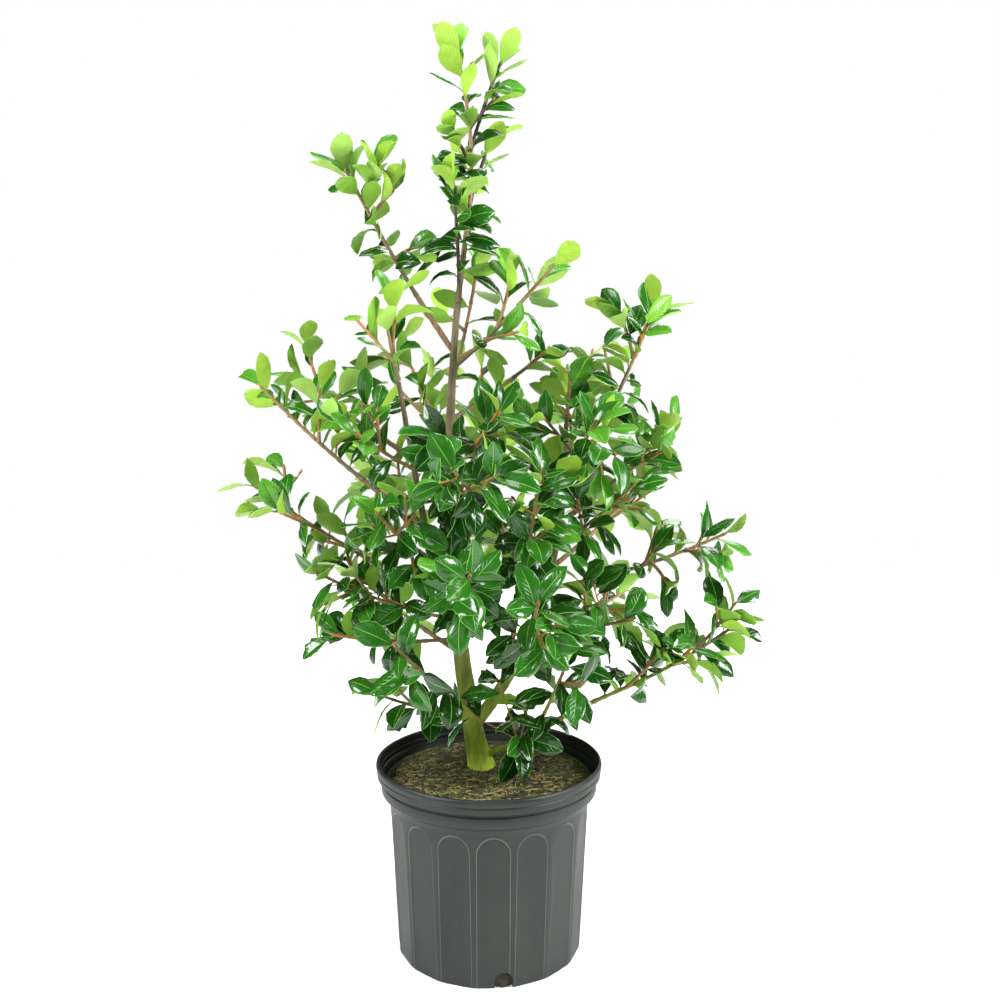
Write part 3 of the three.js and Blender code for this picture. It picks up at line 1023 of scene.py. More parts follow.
@dataclass(frozen=True)
class BranchPlan:
    """A leafy branch: what it leaves and where, its tip, its bare share, and its forks."""

    parent: str
    at: float
    tip: Place
    bough: float = 0.0
    bow: Place | None = None
    forks: tuple[tuple[float, Place], ...] = ()
    stout: float = 1.0


class CrownPart(Enum):
    """The parts of the crown, by the words that their branches' names start with."""

    TOP = ("leader", "tall", "upper", "centre")
    LEFT = ("left",)
    RIGHT = ("right", "mid", "low")
    FRONT = ("front", "foot")
    BACK = ("back",)

    @classmethod
    def of(cls, branch: str) -> "CrownPart":
        """Finds the part of the crown that a branch belongs to."""
        return next(part for part in cls if branch.startswith(part.value))


STEMS: dict[str, StemPlan] = {
    "trunk": StemPlan(((-45, 13, 380), (-58, 8, 600)), (-36, 0, 800), (13.5, 4)),
    "right_stem": StemPlan(((39, 20, 348), (95, 35, 459)), (95, 40, 634), (9, 3.4), "trunk", 277),
    "left_stem": StemPlan(((-64, -10, 444), (-80, -35, 569)), (-103, -50, 709), (6, 3), "trunk", 354),
    "base_shoot": StemPlan(((20, 4, 250), (45, -12, 268)), (68, -25, 288), (4.4, 3.4), "trunk", 238),
}

BRANCHES: dict[str, BranchPlan] = {
    "leader": BranchPlan(
        "trunk", END, (-36, -5, 1084), bow=(30, 2, 12),
        forks=((0.64, (14, 15, 1074)), (0.05, (-40, -26, 939)), (0.4, (4, 12, 990))),
    ),
    "tall_left": BranchPlan(
        "trunk", 742, (-170, 10, 960), 0.34, forks=((0.62, (-114, 6, 926)), (0.3, (-92, 4, 862))),
    ),
    "upper_right": BranchPlan("trunk", 722, (76, -15, 842), forks=((0.45, (26, -8, 828)),)),
    "mid_right": BranchPlan("trunk", 662, (69, 62, 742)),
    "right_top": BranchPlan("right_stem", END, (97, 12, 706)),
    "right_high": BranchPlan("right_stem", 556, (199, 20, 792), 0.45, forks=((0.6, (156, 15, 788)),)),
    "right_outer": BranchPlan("right_stem", 532, (230, 62, 650), 0.4),
    "right_front": BranchPlan("right_stem", 502, (179, -32, 595)),
    "right_inner": BranchPlan("right_stem", 604, (122, -74, 664)),
    "right_mid": BranchPlan("right_stem", 449, (291, 26, 519), 0.42, forks=((0.3, (216, 8, 464)),)),
    "right_low": BranchPlan("right_stem", 398, (165, -62, 432), forks=((0.55, (110, -62, 476)),)),
    "low_right": BranchPlan(
        "base_shoot", END, (287, -40, 415), 0.3,
        forks=((0.66, (262, -26, 372)), (0.8, (292, -42, 446)), (0.3, (204, -54, 392))),
    ),
    "low_centre": BranchPlan("base_shoot", 276, (97, -98, 408)),
    "foot_front": BranchPlan(
        "base_shoot", 258, (42, -62, 292), stout=0.5,
        forks=((0.6, (-34, -60, 322)), (0.5, (12, -46, 352)), (0.7, (50, -44, 334))),
    ),
    "front_centre": BranchPlan("right_stem", 330, (59, -95, 610), 0.46),
    "front_right": BranchPlan("right_stem", 372, (55, -165, 475)),
    "front_mid": BranchPlan("trunk", 440, (-18, -190, 510)),
    "centre_high": BranchPlan("trunk", 596, (12, -84, 676)),
    "centre_left": BranchPlan("trunk", 640, (-112, 34, 700)),
    "front_left": BranchPlan("left_stem", 566, (11, -165, 613)),
    "left_top": BranchPlan("left_stem", END, (-113, -62, 766), forks=((0.6, (-104, -56, 804)),)),
    "left_high": BranchPlan("left_stem", 538, (-269, -10, 701), 0.38),
    "left_mid": BranchPlan("left_stem", 452, (-279, -20, 585), 0.4),
    "left_low": BranchPlan("left_stem", 420, (-197, -85, 493), forks=((0.6, (-164, -58, 502)),)),
    "left_drape": BranchPlan("left_stem", 392, (-184, -40, 408)),
    "left_foot": BranchPlan("trunk", 306, (-103, -135, 420), stout=1.7),
    "left_lowest": BranchPlan("trunk", 292, (-126, -50, 336), stout=1.3),
    "left_front": BranchPlan("left_stem", 496, (-122, -122, 566), forks=((0.4, (-84, -92, 498)),)),
    "left_inner": BranchPlan("left_stem", 606, (-168, -66, 664), forks=((0.45, (-128, -44, 674)),)),
    "left_back": BranchPlan("trunk", 590, (-240, 62, 717), 0.42, forks=((0.7, (-224, 50, 750)),)),
    "back_high": BranchPlan("trunk", 700, (-14, 112, 850)),
    "back_upper_left": BranchPlan("trunk", 636, (-122, 138, 768)),
    "back_upper_right": BranchPlan("right_stem", 598, (136, 160, 742)),
    "back_mid": BranchPlan("trunk", 548, (2, 212, 672), 0.3),
    "back_left": BranchPlan("trunk", 492, (-178, 176, 596), 0.36),
    "back_right": BranchPlan("right_stem", 476, (206, 186, 566), 0.34),
    "back_low": BranchPlan("trunk", 414, (20, 242, 498), 0.36),
    "back_low_left": BranchPlan("trunk", 372, (-170, 152, 438), 0.34),
    "back_low_right": BranchPlan("right_stem", 392, (186, 160, 420), 0.32),
}


@dataclass(frozen=True)
class Opening:
    """A patch of sky through the crown, as seen from the photograph's place, in the trunk's plane."""

    x: float
    z: float
    half_width: float
    half_height: float

    def holds(self, across: float, height: float) -> bool:
        """Tells whether a place in the trunk's plane lies in the opening."""
        return math.hypot((across - self.x) / self.half_width, (height - self.z) / self.half_height) < 1


OPENINGS = tuple(Opening(*sizes) for sizes in (
    (-81, 1017, 23, 49), (-199, 891, 47, 27), (-84, 911, 26, 41),
    (-183, 820, 35, 39), (218, 730, 36, 33), (-271, 654, 50, 24),
    (-219, 623, 34, 24), (-317, 709, 24, 28), (278, 637, 43, 57),
    (224, 568, 31, 24), (-251, 451, 24, 50), (187, 285, 57, 31),
    (267, 285, 45, 38), (-188, 370, 27, 23), (66, 980, 28, 87),
    (145, 904, 51, 34), (-27, 352, 17, 20), (-7, 268, 29, 43),
    (-294, 516, 39, 34), (-184, 599, 24, 29), (121, 762, 18, 16),
    (-176, 766, 22, 16), (158, 318, 22, 18), (205, 425, 16, 14),
    (-46, 1036, 12, 16), (22, 940, 15, 24),
))


@dataclass(frozen=True)
class Patch:
    """A part of the crown where leaves have their own spacing: its middle, its reach and the spacing."""

    middle: Place
    reach: float
    every: float


PATCHES = (
    Patch((-62, -40, 335), 55, 19.0),
    Patch((-30, 0, 1010), 160, 7.5), Patch((-150, 10, 915), 90, 6.5), Patch((190, 20, 770), 80, 8.0),
    Patch((240, -35, 380), 110, 8.0), Patch((-120, -70, 450), 110, 10.5), Patch((60, -90, 370), 100, 11.0),
    Patch((70, -15, 830), 60, 8.0), Patch((270, 20, 500), 60, 14.0), Patch((-120, -40, 660), 60, 11.0),
    Patch((0, 90, 770), 150, 23.0), Patch((40, 0, 730), 90, 23.0),
)


@dataclass
class Spray:
    """A leafy branch: its stem, forks, twigs and finer twigs, and its leaves."""

    name: str
    stem: Limb
    wood: list[Limb]
    leaves: list["Leaf"] = field(default_factory=list)


@dataclass(frozen=True)
class LeafHabit:
    """How a leaf stands, by its age along the shoot and its level in the crown."""

    length: float = 54.0
    young_width: float = 0.54
    old_width: float = 0.49
    widest: float = 0.56
    young_spread: float = math.radians(28)
    old_spread: float = math.radians(70)
    spread_varies: float = 0.35
    old_after: float = 85.0
    low_sag: float = 0.52
    high_sag: float = 0.2
    young_along: float = 0.9
    old_along: float = 0.4
    young_up: float = 0.1
    old_up: float = 0.7
    old_out: float = 0.6
    young_roll: float = math.radians(50)
    old_roll: float = math.radians(118)
    young_size: float = 0.88
    grown_after: float = 32.0
    size_varies: float = 0.3
    low_size: float = 1.02
    high_size: float = 0.95
    low_level: float = 300.0
    high_level: float = 1000.0
    low_youth: float = 0.52


class Leaf:
    """Where one leaf stands: its root, its directions, its length and its age."""

    CROWN_AXIS = np.array([-10.0, 14.0, 0.0])
    UP = np.array([0.0, 0.0, 1.0])

    def __init__(
        self, habit: LeafHabit, axis: Limb, share: float, turn: float, age: float, draws: Sequence[float]
    ) -> None:
        """Places a leaf on an axis.

        Args:
            habit: How leaves stand.
            axis: The wood that it grows from.
            share: How far along the axis.
            turn: How far round the axis.
            age: From 0 for the youngest to 1.
            draws: Random numbers for its spread, size and roll.
        """
        self.root = axis.point(share)
        span = habit.high_level - habit.low_level
        self.level = min(max((self.root[2] - habit.low_level) / span, 0.0), 1.0)
        grown = blend(habit.young_size, 1, min(1.0, age * habit.old_after / habit.grown_after))
        age = 1 - (1 - age) * blend(habit.low_youth, 1.0, self.level)
        self.age = age
        spread = blend(habit.young_spread, habit.old_spread, age) + habit.spread_varies * (draws[0] - 0.5)
        heading = axis.heading_at(share, turn, spread)
        heading = heading - self.UP * age * blend(habit.low_sag, habit.high_sag, self.level)
        self.heading = unit(heading)
        outward = self.root * np.array([1.0, 1.0, 0.0]) - self.CROWN_AXIS
        facing = axis.tangent(share) * blend(habit.young_along, habit.old_along, age)
        facing = facing + self.UP * blend(habit.young_up, habit.old_up, age)
        facing = facing + unit(outward) * habit.old_out * age
        facing = unit(facing - self.heading * facing.dot(self.heading))
        roll = blend(habit.young_roll, habit.old_roll, age) * (draws[2] - 0.5)
        side = np.cross(self.heading, facing)
        self.facing = facing * math.cos(roll) - side * math.sin(roll)
        self.side = np.cross(self.heading, self.facing)
        size = blend(habit.low_size, habit.high_size, self.level) * grown
        self.length = habit.length * size * (1 + habit.size_varies * (draws[1] - 0.5))
        self.half = blend(habit.young_width, habit.old_width, min(1.0, 2 * age)) * self.length / 2
        middle = self.root + self.heading * habit.widest * self.length
        tip = self.root + self.heading * self.length
        aside = self.side * self.half
        self.corners = np.array([self.root, middle - aside, tip, middle + aside])
        self.middle = middle

    def samples(self) -> Array:
        """Gives places over the blade where it must be clear of pot and wood."""
        outer = self.corners[1:]
        return np.concatenate([outer, [self.middle], (outer + self.corners[2]) / 2])


class LeafRoom:
    """The leaves placed so far, for finding whether another one would cut them."""

    LEVELS = (-1.5, 0.0, 1.5)
    REACH = 0.6

    def __init__(self) -> None:
        """Starts empty."""
        self.corners = np.zeros((0, 4, 3))
        self.facings = np.zeros((0, 3))
        self.centres = np.zeros((0, 3))
        self.reaches = np.zeros(0)

    def add(self, leaf: Leaf) -> None:
        """Takes in a leaf.

        Args:
            leaf: The leaf.
        """
        self.corners = np.concatenate([self.corners, leaf.corners[None]])
        self.facings = np.concatenate([self.facings, leaf.facing[None]])
        self.centres = np.concatenate([self.centres, leaf.middle[None]])
        self.reaches = np.append(self.reaches, leaf.length * self.REACH)

    def has_room(self, leaf: Leaf) -> bool:
        """Tells whether a leaf cuts none of those placed so far.

        Args:
            leaf: The leaf.

        Returns:
            Whether there is room for it.
        """
        apart = np.linalg.norm(self.centres - leaf.middle, axis=1)
        near = apart < self.reaches + leaf.length * self.REACH
        if not near.any():
            return True
        corners, facings = self.corners[near], self.facings[near]
        mine = leaf.corners[None]
        theirs_cut = self._cuts(mine, corners, facings)
        mine_cut = self._cuts(corners, mine, leaf.facing[None])
        return not (theirs_cut or mine_cut)

    def _cuts(self, edges_of: Array, blades: Array, facings: Array) -> bool:
        """Tells whether the outline of some leaves passes through the blades of others.

        Args:
            edges_of: The corners of the leaves whose outline is tried.
            blades: The corners of the others.
            facings: Which way the others face.

        Returns:
            Whether any of them does.
        """
        starts = np.concatenate([edges_of, edges_of[:, :1]], axis=1).reshape(-1, 3)
        ends = np.concatenate([np.roll(edges_of, -1, axis=1), edges_of[:, 2:3]], axis=1).reshape(-1, 3)
        halves = np.concatenate([blades[:, [0, 1, 2]], blades[:, [0, 3, 2]]])
        lifts = np.concatenate([facings, facings])[:, None, :]
        triangles = np.concatenate([halves + lifts * level for level in self.LEVELS])
        return bool(crossings(starts, ends, triangles).any())


def crossings(starts: Array, ends: Array, triangles: Array) -> Array:
    """Tells which lines pass through which triangles.

    Args:
        starts: The lines' starts.
        ends: The lines' ends.
        triangles: The triangles' corners.

    Returns:
        A table of lines by triangles.
    """
    runs = (ends - starts)[:, None, :]
    first = triangles[:, 1] - triangles[:, 0]
    second = triangles[:, 2] - triangles[:, 0]
    across = np.cross(runs, second[None])
    scale = np.einsum("tk,ltk->lt", first, across)
    scale = np.where(np.abs(scale) < TINY, TINY, scale)
    off = starts[:, None, :] - triangles[None, :, 0]
    one = np.einsum("ltk,ltk->lt", off, across) / scale
    turned = np.cross(off, first[None])
    other = np.einsum("ltk,ltk->lt", np.broadcast_to(runs, turned.shape), turned) / scale
    along = np.einsum("tk,ltk->lt", second, turned) / scale
    inside = (one >= 0) & (other >= 0) & (one + other <= 1)
    return inside & (along >= 0) & (along <= 1)


@dataclass
class Shrub:
    """The growing rule: limbs, leafy branches, twigs, finer twigs and leaves, in millimetres."""

    seed: int = 20
    golden_angle: float = math.radians(137.5)
    foot: Place = (-10.0, 14.0, 226.0)
    gap: float = 0.3
    tip_leafy_from: float = 0.05
    side_leafy_from: float = 0.16
    bough_radii: Pair = (3.6, 3.1)
    shoot_tip: float = 2.2
    twig_radii: Pair = (2.6, 2.0)
    sag: float = 0.07
    lead: float = 0.4
    fork_bow: float = 0.08
    twig_every: float = 60.0
    twig_length: float = 64.0
    twig_varies: float = 0.5
    twig_shortens: Pair = (1.1, 0.65)
    twigs_to: float = 0.82
    twig_spread: float = math.radians(52)
    twig_lift: float = 0.15
    fine_every: float = 66.0
    fine_to: float = 0.75
    fine_jitter: Pair = (0.2, 0.8)
    fine_length: float = 34.0
    fine_varies: Pair = (0.7, 1.25)
    fine_spread: Pair = (38.0, 58.0)
    fine_sag: float = 0.06
    fine_clearance: float = 3.0
    fine_radii: Pair = (1.5, 1.2)
    fine_levels: Pair = (400.0, 680.0)
    foot_view: Pair = (25.0, 290.0)
    leaf_every: float = 12.8
    inner_leaf_every: float = 8.0
    inner_radius: float = 140.0
    inner_below: float = 640.0
    leaf_crowding: float = 1.15
    leaf_tries: int = 8
    fewest_leaves: int = 3
    leaves_to: float = 0.99
    wood_clearance: float = 1.6
    leaf_clearance: float = 0.8
    soil_top: float = 225.7
    rim_top: float = 242.0
    inside_radius: float = 122.0
    rim_clearance: float = 8.0
    habit: LeafHabit = field(default_factory=LeafHabit)

    # The shares of a twig that need room, and the photograph's place
    OUTER = np.array([0.5, 0.75, 1.0])
    EYE = np.array([13.7, -1386.0, 749.6])

    def __post_init__(self) -> None:
        """Makes the empty lists that growing fills."""
        self.stems: dict[str, Limb] = {}
        self.boughs: dict[str, Limb] = {}
        self.sprays: list[Spray] = []

    def grow(self) -> None:
        """Grows the whole shrub, from the trunk to the leaves."""
        for name, plan in STEMS.items():
            self._add_stem(name, plan)
        for name, plan in BRANCHES.items():
            self._add_branch(name, plan)
        for i, spray in enumerate(self.sprays):
            self._grow_twigs(spray, RandomStream(self.seed + i))
        count = len(self.sprays)
        for i, spray in enumerate(self.sprays):
            self._grow_fine_twigs(spray, RandomStream(self.seed + 2 * count + i))
        self._grow_leaves()

    def bare_limbs(self) -> list[Limb]:
        """Gives the trunk, stems and boughs."""
        return [*self.stems.values(), *self.boughs.values()]

    def _add_stem(self, name: str, plan: StemPlan) -> None:
        """Adds the trunk or a stem that leaves it.

        Args:
            name: Its name.
            plan: Its plan.
        """
        parent = self.stems.get(plan.parent)
        foot = parent.point(parent.share_at(plan.at)) if parent else np.array(self.foot)
        steer = np.array([foot, *plan.steer, plan.tip], float)
        kind = Limb if parent else Trunk
        self.stems[name] = kind(steer, *plan.radii, steps=7)

    def _branch_steer(self, plan: BranchPlan) -> Array:
        """Gives a branch's steering points: straight on from a tip, or out from a side and sagging.

        Args:
            plan: The branch's plan.

        Returns:
            The steering points.
        """
        parent = self.stems[plan.parent]
        foot = parent.point(parent.share_at(plan.at))
        end = np.array(plan.tip, float)
        reach = float(np.linalg.norm(end - foot))
        bow = plan.bow or (0.0, 0.0, -self.sag * reach)
        steer = (foot + end) / 2 + np.array(bow)
        if plan.at != END:
            return np.array([foot, steer, end])
        foot = foot + parent.tangent(1.0) * self.gap
        return np.array([foot, foot + parent.tangent(1.0) * self.lead * reach, steer, end])

    def _add_branch(self, name: str, plan: BranchPlan) -> None:
        """Adds a branch's bare bough, if it has one, and its leafy stem and forks.

        Args:
            name: The branch's name.
            plan: Its plan.
        """
        steer = self._branch_steer(plan)
        bare = plan.bough
        foot_radius = self.bough_radii[1]
        if bare:
            self.boughs[name] = Limb(steer, *self.bough_radii, steps=3, end=bare)
        elif plan.at == END:
            foot_radius = self.stems[plan.parent].tip_radius
        leafy = self.tip_leafy_from if bare or plan.at == END else self.side_leafy_from
        stem = Limb(steer, foot_radius, self.shoot_tip, steps=4, start=bare, leafy_from=leafy)
        wood = [stem]
        for share, tip in plan.forks:
            foot = stem.heart(share)
            bow = stem.tangent(share) * self.fork_bow * np.linalg.norm(np.array(tip) - foot)
            steer = np.array([foot, (foot + np.array(tip)) / 2 + bow, tip])
            wood.append(Limb(steer, *self.twig_radii, steps=3))
        self.sprays.append(Spray(name, stem, wood))

    def _above_pot(self, places: Array) -> bool:
        """Tells whether places stay above the soil inside the pot, and above its rim elsewhere."""
        floor = np.where(np.hypot(*places.T[:2]) < self.inside_radius, self.soil_top, self.rim_top)
        return bool((places[:, 2] > floor + self.rim_clearance).all())

    def _in_own_space(self, places: Array, spray: Spray) -> bool:
        """Tells whether places lie nearer a spray's own wood than any other spray's.

        Args:
            places: The places.
            spray: The spray.

        Returns:
            Whether all of them do.
        """
        own = WoodRoom(spray.wood).clearance(places).min(axis=1)
        others = WoodRoom([limb for other in self.sprays if other is not spray for limb in other.wood])
        return bool((others.clearance(places).min(axis=1) > own).all())

    def _grow_twigs(self, spray: Spray, stream: RandomStream) -> None:
        """Grows a spray's twigs, skipping those without room.

        Args:
            spray: The spray.
            stream: The spray's random numbers.
        """
        stem = spray.stem
        count = round(stem.length() * (1 - stem.leafy_from) / self.twig_every)
        first_turn = stream.draw() * 2 * math.pi
        for k in range(count):
            share = blend(stem.leafy_from, self.twigs_to, (k + 0.5) / count)
            varied = 1 + self.twig_varies * (stream.draw() - 0.5)
            length = self.twig_length * varied * blend(*self.twig_shortens, share)
            heading = stem.heading_at(share, first_turn + k * self.golden_angle, self.twig_spread)
            heading[2] += self.twig_lift
            foot = stem.heart(share)
            twig = Limb(np.array([foot, foot + unit(heading) * length]), *self.twig_radii)
            outer = twig.points(self.OUTER)
            wood = WoodRoom([*self.bare_limbs(), *spray.wood])
            room = wood.is_clear(outer, self.wood_clearance) and self._above_pot(outer)
            hides = self._hides_foot(outer[-1]) or self._blocks_view(outer[-1])
            if room and self._in_own_space(outer, spray) and not hides:
                spray.wood.append(twig)

    def _blocks_view(self, place: Array) -> bool:
        """Tells whether a place is seen, from the photograph's place, in one of the crown's openings."""
        seen = self.EYE + (place - self.EYE) * self.EYE[1] / (self.EYE[1] - place[1])
        return any(opening.holds(seen[0], seen[2]) for opening in OPENINGS)

    def _hides_foot(self, tip: Array) -> bool:
        """Tells whether a twig's tip stands in front of the trunk's foot."""
        aside = abs(tip[0] - self.foot[0])
        return bool(aside < self.foot_view[0] and tip[1] < self.foot[1] and tip[2] < self.foot_view[1])

    def _grow_fine_twigs(self, spray: Spray, stream: RandomStream) -> None:
        """Grows finer twigs on a spray's stem and twigs, where they have room.

        Args:
            spray: The spray.
            stream: The spray's random numbers.
        """
        first_turn = stream.draw() * 2 * math.pi
        for axis in list(spray.wood):
            count = round(axis.length() * (1 - axis.leafy_from) / self.fine_every)
            for k in range(count):
                along = (k + stream.between(*self.fine_jitter)) / count
                share = blend(axis.leafy_from, self.fine_to, along)
                length = self.fine_length * stream.between(*self.fine_varies)
                turn = first_turn + (k + 0.5) * self.golden_angle + math.pi / 2
                heading = axis.heading_at(share, turn, math.radians(stream.between(*self.fine_spread)))
                heading[2] += self.twig_lift
                foot = axis.point(share)
                tip = foot + unit(heading) * length
                bent = (foot + tip) / 2 + np.array([0.0, 0.0, -self.fine_sag * length])
                twig = Limb(np.array([foot, bent, tip]), *self.fine_radii, leafy_from=0.3)
                outer = twig.points(self.OUTER)
                everything = [limb for other in self.sprays for limb in other.wood]
                wood = WoodRoom([*self.bare_limbs(), *everything])
                level = self.fine_levels[0] < foot[2] < self.fine_levels[1]
                room = wood.is_clear(outer, self.fine_clearance) and self._above_pot(outer)
                if level and room and not self._blocks_view(outer[-1]):
                    spray.wood.append(twig)

    def _grow_leaves(self) -> None:
        """Grows the leaves of every spray, each where it cuts no wood and no other leaf."""
        wood = WoodRoom([*self.bare_limbs(), *(limb for spray in self.sprays for limb in spray.wood)])
        leaves = LeafRoom()
        count = len(self.sprays)
        for i, spray in enumerate(self.sprays):
            stream = RandomStream(self.seed + count + i)
            for axis in spray.wood:
                for options in self._leaf_slots(axis, stream):
                    for leaf in options:
                        places = leaf.samples()
                        if not self._above_pot(places) or not wood.is_clear(places, self.leaf_clearance):
                            continue
                        if self._blocks_view(leaf.middle) or self._blocks_view(leaf.corners[2]):
                            continue
                        if leaves.has_room(leaf):
                            leaves.add(leaf)
                            spray.leaves.append(leaf)
                            break

    def _leaf_slots(self, axis: Limb, stream: RandomStream) -> Iterator[Iterator[Leaf]]:
        """Gives, for each place on an axis from its tip back, the leaves that could stand there.

        Args:
            axis: The wood that leaves grow from.
            stream: The random numbers of its spray.

        Returns:
            The choices of each place, in the order to try them.
        """
        length = axis.length() * (1 - axis.leafy_from)
        count = max(self.fewest_leaves, round(length / self._leaf_spacing(axis.point(0.5))))
        first_turn = stream.draw() * 2 * math.pi
        for k in range(count):
            back = (k / count) ** self.leaf_crowding
            share = blend(self.leaves_to, axis.leafy_from, back)
            age = min(1.0, back * length / self.habit.old_after)
            draws = (stream.draw(), stream.draw(), stream.draw())
            turns = (first_turn + (k + 2 * i) * self.golden_angle for i in range(self.leaf_tries))
            yield (Leaf(self.habit, axis, share, turn, age, draws) for turn in turns)

    def _leaf_spacing(self, place: Array) -> float:
        """Gives how far apart leaves stand: by the patch, or else closer in the crown's heart.

        Args:
            place: Where they stand.

        Returns:
            The distance from leaf to leaf.
        """
        for patch in PATCHES:
            if math.dist(place, patch.middle) < patch.reach:
                return patch.every
        inner = math.dist(place[:2], self.foot[:2]) < self.inner_radius and place[2] < self.inner_below
        return self.inner_leaf_every if inner else self.leaf_every


# Wood


@dataclass
class Timber:
    """The trunk and stems, and the bare boughs, as meshes with the bark's relief."""

    shrub: Shrub
    voxel: float = 1.15
    ridge_depth: float = 0.45
    ridge_scale: Place = (190.0, 190.0, 42.0)
    ridge_noise: tuple[float, float, int] = (0.7, 2.1, 4)
    knob_scale: float = 90.0
    knob_depth: float = 0.8
    run_step: float = 5.0
    least_steps: int = 8
    sunk: float = 5.0
    sunk_spread: float = 1.04
    fused_passes: int = 8
    bough_passes: int = 3
    trunk_finish: BarkFinish = BarkFinish(
        "trunk_bark", linear(120, 108, 82), linear(84, 74, 54), linear(182, 214, 38), (0.28, 0.5)
    )
    bough_finish: BarkFinish = BarkFinish(
        "bough_bark", linear(142, 108, 72), linear(104, 82, 58), linear(118, 116, 52), (0.27, 0.42)
    )

    def build(self) -> None:
        """Builds, dresses and hands over both pieces."""
        stems = self._bark("stems", self.shrub.stems.values(), self.fused_passes)
        dress(stems, [self.trunk_finish.make()])
        hand_over(stems, "trunk_bark", *self.shrub.stems)
        boughs = self._bark("boughs", self.shrub.boughs.values(), self.bough_passes)
        dress(boughs, [self.bough_finish.make()])
        hand_over(boughs, "bough_bark", *(f"{name}_bough" for name in self.shrub.boughs))

    def _bark(self, name: str, limbs: Iterable[Limb], passes: int) -> Piece:
        """Sweeps limbs, fuses them where they meet, and raises the bark's relief.

        Args:
            name: The piece's name.
            limbs: The limbs.
            passes: How often the wood is smoothed.

        Returns:
            The piece.
        """
        piece = swept(name, [self._run(limb) for limb in limbs], roundness=6)
        apply(piece, "REMESH", mode="VOXEL", voxel_size=self.voxel * MM, adaptivity=0.0)
        apply(piece, "SMOOTH", factor=0.5, iterations=passes)
        self._raise_ridges(piece.data)
        smooth(piece, degrees=60)
        return piece

    def _run(self, limb: Limb) -> Run:
        """Gives a limb's places and radii, with the trunk's foot sunk in the soil.

        Args:
            limb: The limb.

        Returns:
            The run of wood.
        """
        steps = max(self.least_steps, round(limb.length() / self.run_step))
        shares = np.linspace(0, 1, steps + 1)
        places = limb.points(shares)
        radii = np.array([limb.radius(share) for share in shares])
        if isinstance(limb, Trunk):
            places = np.concatenate([[places[0] - [0, 0, self.sunk]], places])
            radii = np.concatenate([[radii[0] * self.sunk_spread], radii])
        return Run(places, radii)

    def _raise_ridges(self, mesh: Mesh) -> None:
        """Moves the corners of a mesh in and out, in ridges that run along the wood.

        Args:
            mesh: The mesh.
        """
        scale = Vector(self.ridge_scale)
        places = [vertex.co.copy() for vertex in mesh.vertices]
        normals = [vertex.vector.copy() for vertex in mesh.vertex_normals]
        for i, place in enumerate(places):
            ridges = noise.fractal(place * scale, *self.ridge_noise)
            knobs = noise.noise(place * self.knob_scale)
            places[i] = place + normals[i] * (ridges + self.knob_depth * knobs) * self.ridge_depth * MM
        mesh.vertices.foreach_set("co", np.array(places).ravel())
        mesh.update()


